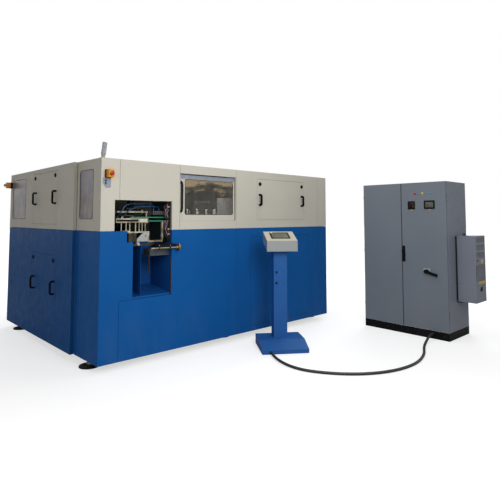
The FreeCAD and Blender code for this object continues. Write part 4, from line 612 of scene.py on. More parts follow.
# painted shade: the narrow return where the left side steps outwards lies in shade, so it is painted darker
shaded_step_mask = inside_box((-41, 578.5, 0), (-0.4, 582.5, 2150))
step_shade_beige = paint("step_shade_beige", (158, 154, 143), 0.5, 0.03, coat=0, gloss=0.2)
step_shade_blue = paint("step_shade_blue", (10, 62, 112), 0.45, 0.05, dust=0, coat=0, gloss=0.1)
side_beige = two_finishes("side_beige", beige, step_shade_beige, shaded_step_mask)
side_blue = two_finishes("side_blue", blue_painted_shade, step_shade_blue, shaded_step_mask)

FINISHES = {
    beige: "front_corner_panel_upper front_header_panel front_window_panel front_cover_panel"
           " rear_panels_upper window_door",
    blue: "front_corner_panel_lower front_bay_panel front_service_panels rear_panels_lower",
    side_beige: "left_panel_upper",
    side_blue: "left_panel_lower",
    stand_blue: "console_stand",
    cover_front: "front_cover",
    cover_up: "side_cover_upper",
    cover_low: "side_cover_lower",
    bay_walls: "bay_liner",
    frame_grey: "main_frame",
    cabinet_grey: "cabinet_door_left cabinet_door_right",
    body_grey: "cabinet_body",
    unit_finish: "cooling_unit",
    desk_finish: "console_box",
    guard_grey: "lamp_modules",
    bracket_grey: "switch_bracket",
    plinth_black: "cabinet_plinth",
    steel: "machine_table clamp_frame stretch_unit transfer_star mounting_panel",
    frame_bars: "guide_frame",
    rail_metal: "door_rail",
    tool_steel: "mould_left mould_right oven_wheel",
    dark_steel: "handwheel",
    black: " ".join(name for name in nodes if name.startswith("latch_")) +
           " window_handle console_screen lever_boss lever_handle switch_lever door_fittings",
    feet_finish: "levelling_feet",
    rubber: "supply_cable",
    yellow: "estop_boxes",
    red: "estop_front_button estop_side_button",
    green: "guide_rails",
    hose_blue: "air_hoses",
    preform_white: "preforms signal_tower",
    front_glass: "window_glass",
    side_glass: "side_windows",
}
for finish, members in FINISHES.items():
    for member in members.split():
        obj = nodes[member]
        if not obj.data.materials:
            obj.data.materials.append(finish)
        for holder in obj.material_slots:
            holder.material = finish
sheath = plastic("cable_sheath", (34, 34, 36), 0.5, 0.0003, 260, 0.2)
left_out = sorted(set(nodes) - set(" ".join(FINISHES.values()).split()))
print("solids without a finish:", left_out)

# %% [markdown]
# ## The supply cable
# One rubber cable feeds the console. It leaves the plinth of the cabinet
# through a gland, drops to the floor, lies in one wide curve and goes into the
# foot of the console. A heavy cable never turns sharply, so its line is a
# NURBS curve of order 3, which stays inside the corners of its control points.
# The points are the ones that the CAD cable was routed by.

# %% Route of the cable
CABLE_RADIUS = 0.015
CABLE_ROUTE = [
    at(3708, -1643, 72), at(3590, -1643, 72), at(3430, -1668, 17.3),
    at(3220, -1745, 15.3), at(2920, -1900, 15.3), at(2560, -1985, 15.3),
    at(2190, -1940, 15.3), at(1870, -1770, 15.3), at(1639.9, -1500.2, 15.3),
    at(1529.9, -1220.2, 15.3), at(1588.86, -887.17, 24), at(1726.52, -690.58, 24)]


def cable_curve(name, points, radius, material, slot_name):
    """Curve of one NURBS spline, given its thickness by a round bevel."""
    curve = bpy.data.curves.new(name, "CURVE")
    curve.dimensions = "3D"
    curve.bevel_depth = radius
    curve.bevel_resolution = 6
    curve.use_fill_caps = True
    spline = curve.splines.new("NURBS")
    spline.points.add(len(points) - 1)
    spline.points.foreach_set("co", np.hstack([points, np.ones((len(points), 1))]).ravel())
    spline.order_u = 3
    spline.use_endpoint_u = True
    spline.resolution_u = 14
    curve.materials.append(material)
    return show(bpy.data.objects.new(name, curve), "machine", slot_name)


# %% [markdown]
# Where the cable leaves a housing, a tapered rubber sleeve keeps it from
# kinking. Its outline is turned round the cable and has shallow grooves.

# %% Cable and its sleeves
RELIEF_PROFILE = [(15.2, 0), (20, 0), (20.5, 4), (19.6, 6), (18.2, 7), (19.2, 9), (18.8, 14),
    (17.2, 15), (18, 17), (17.6, 22), (16.4, 23), (17, 25), (16.6, 32), (15.2, 33)]
cable = cable_curve("supply_cable_sheath", CABLE_ROUTE, CABLE_RADIUS, sheath, "cable_sheath")
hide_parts("supply_cable")
CABLE_ENDS = {"cabinet": (at(3692, -1643, 72), -X),
              "console": (CABLE_ROUTE[-1], CABLE_ROUTE[-2] - CABLE_ROUTE[-1])}
reliefs = [piece("cable_sleeve_" + end, [turned(place, out, RELIEF_PROFILE, ring=True)],
                 rubber, "black_rubber") for end, (place, out) in CABLE_ENDS.items()]

# %% [markdown]
# ## Signal tower
# The lamp tower leans a little on its foot, as in the photograph. Its lenses
# are clear ribbed caps: the outline of one lens is turned round the tower's
# axis while the radius swells and shrinks forty times, which gives the ribs.

# %% The tower's axis
TOWER_LEAN = math.radians(7)
TOWER_FOOT = at(42.13, 60, 2153.07)
TOWER_AXIS = np.array((math.sin(TOWER_LEAN), 0, math.cos(TOWER_LEAN)))
LENSES_FROM, LENS_HEIGHT = 42.0, 36.0
LENS_RIBS, RIB_DEPTH = 40, 0.016


def lens_profile(radius, low):
    """Side of one lens: a plain lip, a ribbed drum and a rounded shoulder."""
    high = low + LENS_HEIGHT
    drum = radius - 1.4
    return [(radius - 4, low + 0.4), (radius, low + 0.4), (radius, low + 4), (drum, low + 5),
            (drum, high - 6), (radius - 0.6, high - 4), (drum, high - 1.4),
            (radius - 4, high - 0.4)]


# %% Tower pieces
clear_lens = lens("clear_lens", (158, 160, 164), 0, 0.3, 0.12)
tower_grey = plastic("tower_grey", (156, 156, 159), 0.4)
tower_beige = plastic("tower_beige", (150, 146, 132), 0.45)
FLANGE = [(0, 0), (30, 0), (30, 4.5), (28.5, 6), (20, 6.3), (18.5, 10), (0, 10)]
STEM = [(0, 0), (17, 0), (17.4, 8), (24.4, 38), (25, 40), (25, 41.6), (0, 41.6)]
LID = [(0, 150), (25, 150), (25, 152), (23.5, 156), (19, 159), (10, 160), (0, 160)]
piece("tower_foot", [turned(at(42, 60, 2145), Z, FLANGE), turned(TOWER_FOOT, TOWER_AXIS, STEM)],
      tower_beige, "lamp_plastic")
tower_lenses = piece("tower_lenses", [
    turned(TOWER_FOOT, TOWER_AXIS, lens_profile(radius, LENSES_FROM + LENS_HEIGHT * index),
           4 * LENS_RIBS, LENS_RIBS, RIB_DEPTH)
    for index, radius in enumerate((25, 24.4, 25))], clear_lens, "lamp_plastic")
piece("tower_cap", [turned(TOWER_FOOT, TOWER_AXIS, LID)], tower_grey, "lamp_plastic")
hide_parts("signal_tower")

# %% [markdown]
# ## Emergency stops
# Each stop is a black base, a yellow lid that is screwed on it, and a red
# mushroom head. The lid gets a real bore, so that the stem can be pushed in
# when the joint moves.

# %% Stop stations
STATIONS = {"front": (at(72, 0, 1984), -Y), "side": (at(-40, 2796, 1996), -X)}
BASE_STEPS = [(0, 0), (0, 28.8), (1.2, 30)]
LID_STEPS = [(1.5, 30), (0, 31.5), (0, 58), (0.7, 58.6), (0.7, 59.6), (0, 60.2), (0, 75), (1, 78.2),
    (3.4, 80)]
COLLAR = [(12.6, 80), (18, 80), (18.6, 81.5), (17.6, 84), (14, 84.8), (12.6, 84)]
HEAD = [(0, 68), (11, 68), (11, 92), (15, 93), (19, 94.2), (20, 97), (20, 104),
        (18.4, 107.6), (14, 109.6), (8, 110), (0, 110)]
piece("stop_bases", [slab(c, out, (70, 85), 5, BASE_STEPS) for c, out in STATIONS.values()], black,
    "black_plastic")
lids = piece("stop_lids", [slab(c, out, (66, 81), 7, LID_STEPS, bore=[(12.2, 80), (12.2, 56)])
    for c, out in STATIONS.values()], yellow, "yellow_plastic")
piece("stop_collars", [turned(c, out, COLLAR, ring=True) for c, out in STATIONS.values()], steel,
    "steel")
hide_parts("estop_boxes")
for side, (centre, out) in STATIONS.items():
    head = piece("stop_head_" + side, [turned(centre, out, HEAD)], red, "red_plastic",
        f"estop_{side}_button")
    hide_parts(f"estop_{side}_button")


# %% Lid screws
def screw(centre, out, radius=3, height=1.6):
    """Pan head with a recess: a dome outline that dips in its middle."""
    r, h = radius, height
    return turned(centre, out, [(r, 0), (r, 0.45 * h), (0.8 * r, 0.85 * h), (0.5 * r, h),
        (0.42 * r, h), (0.36 * r, 0.4 * h), (0, 0.3 * h)], 16)


spots = [(spot, out) for centre, out in STATIONS.values()
         for spot in lifted(centre, axes_of(out, Z), rounded(26, 33, 0, 1), 80)]
piece("stop_screws", [screw(spot, out, 3.2) for spot, out in spots], steel, "steel")

# %% Sockets in the bracket
sockets = [slab(at(48, 0, z), -Y, (25, 21), 2, [(0, 0), (0, 4), (1.2, 4.4), (2, 2.4)])
    for z in (1884, 1911)]
piece("bracket_sockets", sockets, sleeve_black, "black_plastic")

# %% [markdown]
# ## Door of the control cabinet
# The near door carries three indicator lamps, a meter, a small display, the
# long plate of the swing handle and the plate of the main switch. Small yellow
# fields sit under them where the real ones are engraved.

# %% Door fittings
NEAR_DOOR = "cabinet_door_right"
DOOR_X = 3710.0
LAMP_Z = 1851.0
BEZEL = [(14.6, 0), (16, 0), (16, 2), (15.4, 3.2), (14.6, 3.2)]
CAP = [(0, 0), (14.5, 0), (14.5, 7.4), (13.4, 10.2), (9.8, 12.2), (4.8, 13.2), (0, 13.2)]
LAMPS = {"red": (-1429, (168, 16, 22)), "yellow": (-1534, (196, 178, 18)),
    "blue": (-1635, (22, 136, 188))}


def on_door(y, z):
    """Point on the outside of the near door."""
    return at(DOOR_X, y, z)


bezels = piece("indicator_bezels", [turned(on_door(y, LAMP_Z), -X, BEZEL, ring=True)
    for y, rgb in LAMPS.values()], steel, "steel", NEAR_DOOR)
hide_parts("door_fittings")
for colour, (y, rgb) in LAMPS.items():
    glass = lens("lamp_" + colour, rgb, 0.1)
    piece("indicator_" + colour, [turned(on_door(y, LAMP_Z), -X, CAP)], glass, "lamp_plastic",
        NEAR_DOOR)
FIELDS = [(y, LAMP_Z - 22, 20, 7) for y, rgb in LAMPS.values()]
FIELDS += [(-1377, 1636, 32, 8), (-1623.5, 1638, 32, 8)]
piece("door_fields", [plate(on_door(y, z), -X, (w, h), 2, 0.8, 0.3) for y, z, w, h in FIELDS],
    yellow_field, "yellow_plastic", NEAR_DOOR)

# %% Meter and display
METER_AT, METER_SIZE = on_door(-1377, 1699.5), (100, 107)
SHOW_AT, SHOW_SIZE = on_door(-1623.5, 1703), (143, 110)
RIM = [(0, 0), (0, 6.4), (1.6, 8), (7, 8), (9, 5.4)]
piece("door_frames", [slab(METER_AT, -X, METER_SIZE, 5, RIM), slab(SHOW_AT, -X, SHOW_SIZE, 5, RIM)],
    black, "black_plastic", NEAR_DOOR)
screen_dark = plastic("screen_dark", (18, 20, 22), 0.2, 0.00001, gloss=0.2)
screen_grey = plastic("screen_grey", (92, 92, 82), 0.2, 0.00001, shade=0.3, gloss=0.3)
FACE, MARK = X * 0.0054, X * 0.0059
for name, centre, size, finish in (("meter_face", METER_AT, (80, 87), screen_dark),
                                   ("display_face", SHOW_AT, (104, 70), screen_grey)):
    piece(name, [plate(centre - FACE, -X, size, 2, 0.5, 0.2)], finish, "screen_glass", NEAR_DOOR)
MARKS = {"red": (plastic("digit_red", (140, 52, 38), 0.3, gloss=0.2), -0.022, (9, 14)),
         "green": (plastic("digit_green", (44, 52, 52), 0.3, gloss=0.2), 0.016, (20, 5))}
for colour, (finish, dy, size) in MARKS.items():
    marks = [plate(METER_AT - MARK + Y * dy + Z * dz, -X, size, 1, 0.25, 0.1)
             for dz in (0.026, 0, -0.024)]
    piece("meter_marks_" + colour, marks, finish, colour + "_plastic", NEAR_DOOR)

# %% Seal lip between the doors and bead of the corner
piece("door_seal_lip", [slab(at(3710, -1231.5, 1052), -X, (7, 1880), 1.5,
    [(0, 0), (0, 0.8), (1.2, 1.4)])], rubber, "black_rubber", NEAR_DOOR)
piece("corner_bead", [slab(at(3751, -1840, 1050), -Y, (9, 1886), 4, [(0, 0), (0, 0.6), (1.4, 2)])],
    body_grey, "cabinet_paint")

# %% Handle plate and switch plate
SWITCH_AT = on_door(-1570, 841)


def pierced(centre, size, radius, thickness, off, hole):
    """Plate with a round hole away from its middle: its outline, which a ring
    of circle points mirrors on the inside, front and back."""
    outline = rounded(size[0] / 2, size[1] / 2, radius, 12)
    angle = np.arctan2(outline[:, 1] - off, outline[:, 0])
    ring = hole * np.stack([np.cos(angle), np.sin(angle)], -1) + (0, off)
    small = outline * (1.0 - 1.6 / np.array(size))
    flats = [(outline, 0), (outline, thickness - 0.8), (small, thickness), (ring, thickness),
             (ring, 0)]
    return skin([lifted(centre, axes_of(-X, Z), flat, h) for flat, h in flats], True)


piece("handle_plate", [pierced(on_door(-1255, 1055), (38, 210), 9, 6, 23, 9.4)], black,
    "black_plastic", NEAR_DOOR)
LOCK = [(0, 0), (9, 0), (9, 1.2), (7.6, 2), (0, 2)]
piece("handle_lock", [turned(on_door(-1253, 1000) - X * 0.006, -X, LOCK, 24)], steel, "steel",
    NEAR_DOOR)
switch_grey = plastic("switch_grey", (168, 172, 176), 0.4)
piece("switch_plate", [pierced(SWITCH_AT + Z * 0.0005, (90, 81), 9, 4.6, -0.5, 9.4)], switch_grey,
    "cabinet_paint", NEAR_DOOR)
SWITCH_RING = [(9.4, 0), (24, 0), (24, 1.4), (22, 3), (9.4, 3)]
piece("switch_collar", [turned(SWITCH_AT - X * 0.0046, -X, SWITCH_RING, ring=True)], black,
    "black_plastic", NEAR_DOOR)

# %% [markdown]
# ## Adjusting spindle and its wheel
# The brass wheel turns a threaded spindle. A screw thread is a surface of two
# parameters: the radius at a place along the spindle depends on how far that
# place is from the helix, which moves on by one pitch in a turn.

# %% Threaded spindle
SPINDLE_AT = at(555, -50, 1208)
WHEEL_AT = at(890, -50, 1208)
SPINDLE_LENGTH = 323.0
PITCH = 4.0


def threaded(start, axis, length, radius, depth, pitch, count=20):
    """Radius = core plus a flat-topped wave of (place / pitch - turn)."""
    u, v, n = axes_of(axis, Z)
    place = np.arange(0, length, pitch / 6)
    phase = place[:, None] / pitch - np.arange(count) / count
    wave = np.clip(0.5 + 1.1 * np.cos(2.0 * math.pi * phase), 0, 1)
    r = (radius - depth + depth * wave) / MM
    c, s = circle(count)
    ring = r[..., None] * (c * u + s * v)
    return skin(start + ring + place[:, None, None] * n / MM)


COLLAR_PROFILE = [(0, -13), (13, -13), (14, -12), (14, -1), (0, -1)]
piece("spindle_thread", [threaded(SPINDLE_AT, X, SPINDLE_LENGTH, 8, 1.2, PITCH),
    turned(WHEEL_AT, X, COLLAR_PROFILE, 32)], weathered, "steel", "handwheel")

# %% Brass wheel
RIM_PROFILE = [(33, 0.5), (37, -0.4), (40, 1), (41, 4), (41, 11), (40, 14), (37, 15.3), (33, 14.4),
    (31.5, 11), (31.5, 4)]
HUB_PROFILE = [(0, -1), (13, -1), (14.5, 1), (14.5, 12), (12, 15), (12, 20), (10, 21), (0, 21)]
WEB_PROFILE = [(14, 5), (32, 5), (32, 9), (14, 9)]


def spoke(turn):
    """Flat arm from hub to rim, its width drawn in towards the rim."""
    out = math.cos(turn) * Y + math.sin(turn) * Z
    side = -math.sin(turn) * Y + math.cos(turn) * Z
    c, s = circle(12)
    return skin([WHEEL_AT + (out * r + X * (7.0 + 4.2 * c) + side * w * s) / MM
        for r, w in ((11, 8), (18, 6.2), (27, 5.2), (34, 6.4))])


wheel = piece("brass_wheel", [turned(WHEEL_AT, X, RIM_PROFILE, 56, ring=True),
    turned(WHEEL_AT, X, HUB_PROFILE, 32), turned(WHEEL_AT, X, WEB_PROFILE, 48, ring=True)]
    + [spoke(math.radians(45 + 90 * k)) for k in range(4)], brass, "brass", "handwheel")
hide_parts("handwheel")

# %% [markdown]
# ## Handles and latches of the covers
# A soft sleeve is drawn over each bow handle, from one foot to the other. Its
# path is the bow's: two legs, two quarter bends and the grip.

# %% Sleeves and rosettes
SLEEVE_RADII = {"front_cover": 14, "side_cover_upper": 11.5, "side_cover_lower": 11.5}
BOW_REACH, BOW_BEND = 42, 19.8
ROSETTE = [(20.6, 0), (26, 0), (26, 3), (24.6, 5), (21.4, 5.4), (20.6, 5)]


def bow_path(foot, out, length):
    """Legs and grip as corner points, each bend a quarter circle of angles."""
    angle = np.linspace(0, math.pi / 2, 9)
    low_rise = BOW_REACH - BOW_BEND + BOW_BEND * np.sin(angle)
    low_along = BOW_BEND * (1.0 - np.cos(angle))
    rise = np.concatenate([[0.6], low_rise, low_rise[::-1], [0.6]])
    along = np.concatenate([[0], low_along, length - low_along[::-1], [length]])
    return foot + (rise[:, None] * out + along[:, None] * Z) / MM


COVERS = {
    "front_cover": (-Y, 134, [(2218, 0, 1704), (3070, 0, 1704)],
                    [(2229, 0, 1982), (3079, 0, 1982)]),
    "side_cover_upper": (-X, 143, [(-40, 1094, 1705), (-40, 1763, 1705)],
                         [(-40, 1126, 2036), (-40, 1810, 2036)]),
    "side_cover_lower": (-X, 143, [(-40, 1094, 658), (-40, 1763, 658)],
                         [(-40, 1126, 1038), (-40, 1810, 1038)])}
for cover, (out, length, feet, latches) in COVERS.items():
    piece("sleeves_" + cover, [tube(bow_path(at(*foot), out, length), SLEEVE_RADII[cover], 20)
        for foot in feet], sleeve_black, "black_rubber", cover)
    piece("rosettes_" + cover, [turned(at(*spot), out, ROSETTE, 32, ring=True) for spot in latches],
        black, "black_plastic", cover)

# %% [markdown]
# ## Inside the take-out bay
# The photograph shows a busy corner: two small air cylinders over the bars,
# valve coils, wires down the right wall, screws on the bars and a rusty strap
# beside the chute. They are small, and they all sit on something.

# %% Cylinders, screws and roller of the bars
def cylinder(x0, x1, y, z, radius):
    """Air cylinder along X: end caps, a barrel and its rod nut."""
    centre = at(x0, y, z)
    l, r = x1 - x0, radius
    return turned(centre, X, [(0, 0), (r, 0), (r, 14), (r - 2, 15), (r - 2, l - 15), (r, l - 14),
        (r, l), (6, l), (5, l + 12), (0, l + 12)], 28)


piece("air_cylinders", [cylinder(384, 560, 206, 1636, 15), cylinder(300, 450, 176, 1560, 12)],
    dark_steel, "steel")
piece("cylinder_saddles", [
    plate(at(x, 182, 1608), Z, (14, 78), 2, 14, 1, Y) for x in (394, 550)]
    + [plate(at(x, 166, 1530), Z, (14, 44), 2, 19, 1, Y) for x in (312, 438)], steel, "steel")
SCREW_SPOTS = [(x, 142, 1600) for x in (262, 300, 420, 500, 600)]
SCREW_SPOTS += [(x, 140, 1524.5) for x in (256, 330, 420, 490)]
SCREW_SPOTS += [(x, 136, 1520) for x in (520, 612)] + [(x, 136, 1488) for x in (520, 612)]
SCREW_SPOTS += [(x, 136, 1379) for x in (392, 440, 520, 600, 630)]
SCREW_SPOTS += [(x, 140, 1275) for x in (668, 724, 768, 830)] + [(x, -62, 1236) for x in (648, 788)]
piece("bar_screws", [screw(at(*spot), -Y, 4.2, 3) for spot in SCREW_SPOTS], steel, "steel")

# painted shade: a black plate on the neck bar stands for the shaded inside of its channel
piece("neck_channel_shade", [plate(at(372, 140, 1506), -Y, (256, 20), 4, 1.2, 0.5)], black, "black_plastic")
ROLLER = [(0, 0), (12, 0), (13, 1), (13, 13), (12, 14), (0, 14)]
piece("tray_roller", [turned(at(446, 40, 1253), -Y, ROLLER, 28)],
    plastic("roller_pale", (196, 192, 180), 0.4), "lamp_plastic")

# %% Valve coils
COILS = [708.0 + 27.0 * k for k in range(5)]
coils = [plate(at(x, 144, 1589), -Y, (22, 34), 3, 17, 1.5) for x in COILS]
coil_grey = plastic("coil_grey", (66, 68, 72), 0.45)
piece("valve_coils", coils, coil_grey, "black_plastic")
piece("coil_lights", [plate(at(x, 127, 1598), -Y, (9, 4), 1, 0.8, 0.3) for x in COILS],
    plastic("coil_red", (120, 30, 34), 0.4), "lamp_plastic")

# %% Wires down the right wall
WIRE_TOP, WIRE_LOW, WIRE_POINTS = 1716, 1318, 13
WIRE_X, WIRE_Y, WIRE_STEP = 838, 60, 5.8
WIRES = {"red": (150, 52, 58), "white": (170, 166, 160), "blue": (34, 72, 116),
    "black": (30, 30, 34)}
rng = np.random.default_rng(7)
slack = np.abs(np.sin(np.linspace(0, 2.0 * math.pi, WIRE_POINTS)))
place = 0
for colour, rgb in WIRES.items():
    finish = plastic("wire_" + colour, rgb, 0.42, 0.0001, 300)
    strands = []
    for _ in range(3):
        z = np.linspace(WIRE_TOP, WIRE_LOW, WIRE_POINTS)
        x = WIRE_X - rng.uniform(1, 36, WIRE_POINTS) * slack
        y = WIRE_Y + WIRE_STEP * place + rng.uniform(-16, 16, WIRE_POINTS) * slack
        strands.append(tube(curve_through([at(*p) for p in zip(x, y, z)], 90), 2.4, 8))
        place = place + 5 if place < 7 else place - 7
    piece("wires_" + colour, strands, finish, "cable_sheath")
piece("wire_clips", [plate(at(845, 93, z), -X, (84, 14), 3, 14, 2) for z in (1700, 1517, 1330)],
    black, "black_plastic")
piece("wire_block", [plate(at(845, 93, 1290), -X, (90, 40), 5, 30, 2.5)], black, "black_plastic")
connector_grey = plastic("connector_grey", (168, 160, 154), 0.4)
piece("wire_connectors", [plate(at(845, y, z), -X, (14, 16), 2, depth, 1.5)
    for y, z, depth in ((62, 1658, 26), (54, 1408, 24), (56, 1352, 18))], connector_grey,
    "lamp_plastic")

# %% Strap, bare edge, skirt, apron and pale plate
rust = plastic("rusty_strip", (88, 68, 58), 0.6, 0.0002, 200, shade=0.3, gloss=0.2)
piece("hanging_strap", [slab(at(606, 84, 1064), -X, (22, 262), 4, [(0, 0), (0, 1.6), (0.6, 2.4)])],
    rust, "steel")
piece("strap_screws", [screw(at(603.6, 84, z), -X, 4, 2.6) for z in (1180, 946)], steel, "steel")
piece("bare_edge", [slab(at(845, 12.5, 895), -X, (24, 408), 1, [(0, 0), (0, 0.6), (0.4, 1.4)])],
    rust, "steel")
cream = plastic("cream_plate", (214, 210, 192), 0.45)
SKIRT = np.array([at(470, 190, 736), at(470, 20, 712), at(470, 20, 1040), at(470, 190, 1040)])
piece("partition_skirt", [skin([SKIRT, SKIRT - X * 0.002])], liner_blue, "blue_paint")
piece("chute_apron", [plate(at(605.5, 25, 693.8), -Y, (478, 20.4), 0.3, 1.6, 0.3)], blue,
    "blue_paint")
piece("joint_cover", [plate(at(563, 136, 1506), -Y, (92, 36), 3, 2, 0.8)], cream, "aluminium")

# %% [markdown]
# ## Console
# The desk box is folded sheet with a framed touch screen let into its slope.
# The column stands turned to the operator, so a small helper places points in
# the console's own directions.

# %% Console's own directions
CONSOLE_AT = at(2078, -485, 0)
CONSOLE_TURN = math.radians(-35)
SIDEWAYS = math.cos(CONSOLE_TURN) * X + math.sin(CONSOLE_TURN) * Y
INWARDS = -math.sin(CONSOLE_TURN) * X + math.cos(CONSOLE_TURN) * Y


def on_console(x, y, z):
    """Point from millimetres to the side, inwards and up at the console."""
    return CONSOLE_AT + (x * SIDEWAYS + y * INWARDS + z * Z) / MM


# %% Screen in the desk
DESK_LOW, DESK_HIGH, DESK_DEPTH = 1262, 1363, 282
SLOPE = (DESK_HIGH - DESK_LOW) / DESK_DEPTH
SCREEN_Y = -48.0
SCREEN_AT = on_console(0, SCREEN_Y, DESK_LOW + SLOPE * (SCREEN_Y + 202))
SCREEN_UP = (INWARDS + SLOPE * Z) / math.hypot(1, SLOPE)
SCREEN_OUT = np.cross(SIDEWAYS, SCREEN_UP)
SCREEN_LONG = 176.0 * math.hypot(1, SLOPE)
SCREEN_RIM = [(0, -8), (0, 3.4), (1.4, 5), (17, 5), (19.5, 2.6)]
screen_black = plastic("screen_bezel", (10, 10, 11), 0.5, gloss=0.1)
console_glass = plastic("console_glass", (96, 96, 82), 0.15, 0.00001, shade=0.2, gloss=0.4)
dot_white = plastic("dot_white", (246, 246, 246), 0.3)
rim = piece("screen_frame", [slab(SCREEN_AT, SCREEN_OUT, (234, SCREEN_LONG), 7, SCREEN_RIM,
    SCREEN_UP)], screen_black, "black_plastic")
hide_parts("console_screen")
piece("screen_glass_pane", [slab(SCREEN_AT + SCREEN_OUT * 0.0026, SCREEN_OUT,
    (194, SCREEN_LONG - 40), 2, [(0, 0), (0, 0.3), (0.3, 0.6)], SCREEN_UP)], console_glass,
    "screen_glass")
DOT = [(0, 0), (8, 0), (8, 1), (6.4, 2.2), (0, 2.2)]
DOT_AT = SCREEN_AT + SIDEWAYS * -0.092 + SCREEN_UP * (SCREEN_LONG / 2 - 9) / MM + SCREEN_OUT * 0.005
piece("screen_dot", [turned(DOT_AT, SCREEN_OUT, DOT, 24)], dot_white, "lamp_plastic")

# %% Plugs of the column
PLUG = [(0, 0), (13.6, 0), (13.6, 3), (12, 5.6), (9, 6.2), (8, 5), (0, 5)]
SMALL_PLUG = [(0, 0), (5, 0), (5, 0.8), (4, 1.4), (0, 1.4)]
plugs = [turned(on_console(-48, -77.5, z), -INWARDS, PLUG, 28) for z in (880, 751)]
plugs += [turned(on_console(44, -77.5, z), -INWARDS, SMALL_PLUG, 20) for z in (893, 744)]
piece("column_plugs", plugs, black, "black_plastic")

# %% [markdown]
# ## Cooling unit
# The slots of the casing show slanted blades. All blades are the same thin
# strip, turned a little about its length and repeated down the six grilles.

# %% Louvre blades
UNIT_Y = -2090.0


def blade(x, z, length):
    """Thin strip along X whose upper edge leans into the casing."""
    lean = np.array([(0, -0.8), (4.6, 4.6), (5.2, 5.2), (5.6, 4.6), (0.7, -1.2)])
    ends = np.array((0.5, length - 0.5))
    loops = [np.array([at(x + e, UNIT_Y + 0.3 + a, z + 1.4 + b) for a, b in lean]) for e in ends]
    return skin(loops)


blades = [blade(3985, low + row * 13, 240) for low in GRILLES for row in range(5)]
piece("louvre_blades", blades, grille_grey, "cabinet_paint")

# %% Marks, screws and lifting eye of the unit
unit_brown = plastic("unit_brown", (124, 62, 36), 0.4)
unit_teal = plastic("unit_teal", (58, 138, 132), 0.4)
UNIT_FIELDS = {
    "unit_field_brown": (4010, 996, (58, 38), unit_brown, "black_plastic"),
    "unit_field_yellow": (4149, 960, (66, 22), yellow_field, "yellow_plastic"),
    "unit_field_pale": (4149, 986, (66, 28), housing_white, "cabinet_paint"),
    "unit_band_yellow": (4130, 714, (196, 34), yellow_field, "yellow_plastic")}
for name, (x, z, size, finish, slot_name) in UNIT_FIELDS.items():
    piece(name, [plate(at(x, UNIT_Y, z), -Y, size, 2, 0.8, 0.3)], finish, slot_name)
piece("unit_field_teal", [turned(at(4149, UNIT_Y - 0.8, 986), -Y,
    [(0, 0), (9, 0), (9, 0.5), (0, 0.5)], 24)], unit_teal, "green_plastic")
piece("unit_edge_seal", [plate(at(3957, UNIT_Y, 835), -Y, (7, 190), 2, 1.6, 0.6)], rubber,
    "black_rubber")
UNIT_RIM = [(0, 0), (0, 3.4), (1.2, 4.4), (6, 4.4), (7.4, 3.2)]
piece("unit_display", [slab(at(4104, UNIT_Y, 632.5), -Y, (64, 52), 4, UNIT_RIM)], black,
    "black_plastic")
piece("unit_display_field", [plate(at(4104, UNIT_Y - 3.2, 632.5), -Y, (46, 34), 1.5, 0.5, 0.2)],
    screen_dark, "screen_glass")
UNIT_SCREWS = [(3940, y, z, -X) for y in (-2070, -1885) for z in (492, 700, 1000, 1285)]
UNIT_SCREWS += [(x, UNIT_Y, z, -Y) for x in (3962, 4250) for z in (492, 690, 1288)]
piece("unit_screws", [screw(at(x, y, z), out, 5, 2.4) for x, y, z, out in UNIT_SCREWS], dark_steel,
    "steel")
EYE = [(8.2, 0), (17, 0), (18, 1.5), (18, 9.5), (17, 11), (8.2, 11)]
piece("unit_eye_ring", [turned(at(3952.5, -1950, 1321), X, EYE, 32, ring=True)], black, "steel")

# %% Plinth screws
PLINTH_SCREWS = [(3710, y, 52) for y in (-700, -1000, -1290, -1780)]
piece("plinth_screws", [screw(at(*spot), -X, 5.5, 3) for spot in PLINTH_SCREWS], dark_steel,
    "steel")

# %% [markdown]
# ## Seals of the windows
# A rubber bead holds each pane. It is one closed tube along a rounded
# rectangle, so its start and its end meet.

# %% Rubber beads of the panes
def bead(centre, out, size, radius, thick):
    """Circle carried round a rounded rectangle, closed on itself."""
    u, v, n = axes_of(out, Z)
    line = lifted(centre, (u, v, n), rounded(size[0] / 2, size[1] / 2, radius, 8), 0)
    side = np.cross(unit(np.roll(line, -1, 0) - np.roll(line, 1, 0)), n)
    c, s = circle(8)
    return skin(line[:, None] + (c * side[:, None] + s * n) * thick / MM, ring=True)


piece("window_bead", [bead(at(1405.5, 30, 1778), -Y, (735, 412), 24, 2.4)], rubber, "black_rubber",
    "window_door")
piece("side_window_beads", [bead(at(0, 345, 1782), -X, (330, 516), 22, 2),
    bead(at(-40, 2455, 1787.5), -X, (550, 535), 22, 2)], rubber, "black_rubber")

# %% Dark strip of painted shade over the rail, and grip feet
# painted shade: a dark grey strip over the door rail stands for the shaded gap under the header
piece("rail_shade_strip", [slab(at(1377, 26, 2039), -Y, (840, 9), 2, [(0, 0), (0, 2.4), (1.5, 4)])],
    plastic("shade_strip_grey", (52, 53, 55), 0.7, gloss=0.2), "black_rubber")
piece("window_sleeve", [tube([at(980, 0, z) for z in (1630, 1700, 1777, 1850, 1924)], 12.4, 24)],
    black, "black_rubber", "window_door")
GRIP_FOOT = [(0, 0), (17, 0), (17, 5), (15.5, 9), (12, 12), (9, 13), (0, 13)]
piece("grip_feet", [turned(at(980, 30, z), -Y, GRIP_FOOT, 32) for z in (1610, 1946)], black,
    "black_plastic", "window_door")

# %% [markdown]
# ## Floor and light
# The photograph has a plain white ground. The floor is a pale sheet that
# shows white to the camera and still keeps the shadows. One broad lamp stands
# near the camera, as in the photograph, where the long front is the brightest
# side, and weaker ones fill the other sides.

# %% Floor
WHITE = (1, 1, 1, 1)
HALF = 60.0


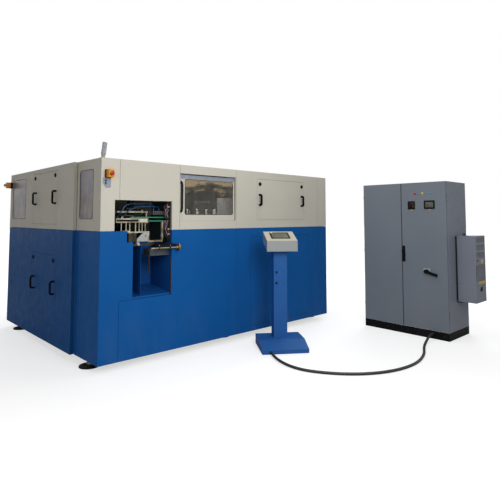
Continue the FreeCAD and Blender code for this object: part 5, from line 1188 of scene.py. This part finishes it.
def floor_glow(tree):
    """White diffuse floor with a camera-only glow that lifts it to white."""
    path = add(tree, "LightPath").outputs
    seen = maths(tree, "MAXIMUM", path["Is Camera Ray"], path["Is Transmission Ray"])
    coord = add(tree, "TexCoord").outputs["Object"]
    reach = add(tree, "VectorMath", {0: coord}, operation="LENGTH").outputs["Value"]
    glow = ranged(tree, reach, 2.5, 9, 0.6, 0.95)
    return shader(tree, {
        "Base Color": (0.5, 0.5, 0.5, 1), "Roughness": 0.9, "Emission Color": WHITE,
        "Emission Strength": maths(tree, "MULTIPLY", seen, glow)})


mesh = bpy.data.meshes.new("studio_floor")
mesh.from_pydata([(-HALF, -HALF, 0), (HALF, -HALF, 0), (HALF, HALF, 0), (-HALF, HALF, 0)], [],
    [(0, 1, 2, 3)])
mesh.materials.append(finish_of("studio_floor", floor_glow))
floor = bpy.data.objects.new("studio_floor", mesh)
bpy.context.scene.collection.objects.link(floor)
floor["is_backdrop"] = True

# %% World
AMBIENT = 0.27


def white_world():
    """White for the eye, for gloss and through glass; a soft grey for light."""
    world = bpy.data.worlds.new("studio_world")
    bpy.context.scene.world = world
    tree = empty_tree(world)
    path = add(tree, "LightPath").outputs
    seen = joined(tree, "MAXIMUM", [
        path[key] for key in ("Is Camera Ray", "Is Glossy Ray", "Is Transmission Ray")])
    fill, shown = [
        add(tree, "Background", {"Strength": strength, "Color": WHITE}).outputs[0]
        for strength in (AMBIENT, 1)]
    mix = add(tree, "MixShader", enumerate((seen, fill, shown)))
    add(tree, "OutputWorld", {"Surface": mix.outputs[0]})


white_world()
bpy.context.scene.view_settings.view_transform = "Standard"


# %% Lamps
def area_lamp(name, place, target, size, power):
    """Square lamp of a size in metres that faces a point."""
    data = bpy.data.lights.new(name, "AREA")
    data.shape = "SQUARE"
    data.size = size
    data.energy = power
    look = np.asarray(target, float) - place
    return pose(bpy.data.objects.new(name, data), *axes_of(-look, Z), place)


area_lamp("key", at(200, -3700, 2700), at(700, 0, 1100), 1.8, 94)
area_lamp("left_near", at(-2700, -1900, 2300), at(0, 500, 1300), 1.6, 15)
area_lamp("overhead", at(2300, -600, 4200), at(2700, -900, 0), 2.4, 34)
area_lamp("back", at(2600, 7000, 3200), at(2000, 2800, 1000), 2.6, 120)
area_lamp("right_end", at(8500, 1500, 3200), at(3600, 600, 1000), 3, 150)

inside = area_lamp("inside", at(1800, 500, 2110), at(1750, 500, 0), 0.8, 8)
inside.data.spread = math.radians(100)

# %% Sizes of the solids and of the scene
visual_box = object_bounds()
sizes = {"cad": [list(map(float, c)) for c in cad_box], "visual": [list(map(float, c)) for c in visual_box]}
print("CAD box", sizes["cad"], "visual box", sizes["visual"])
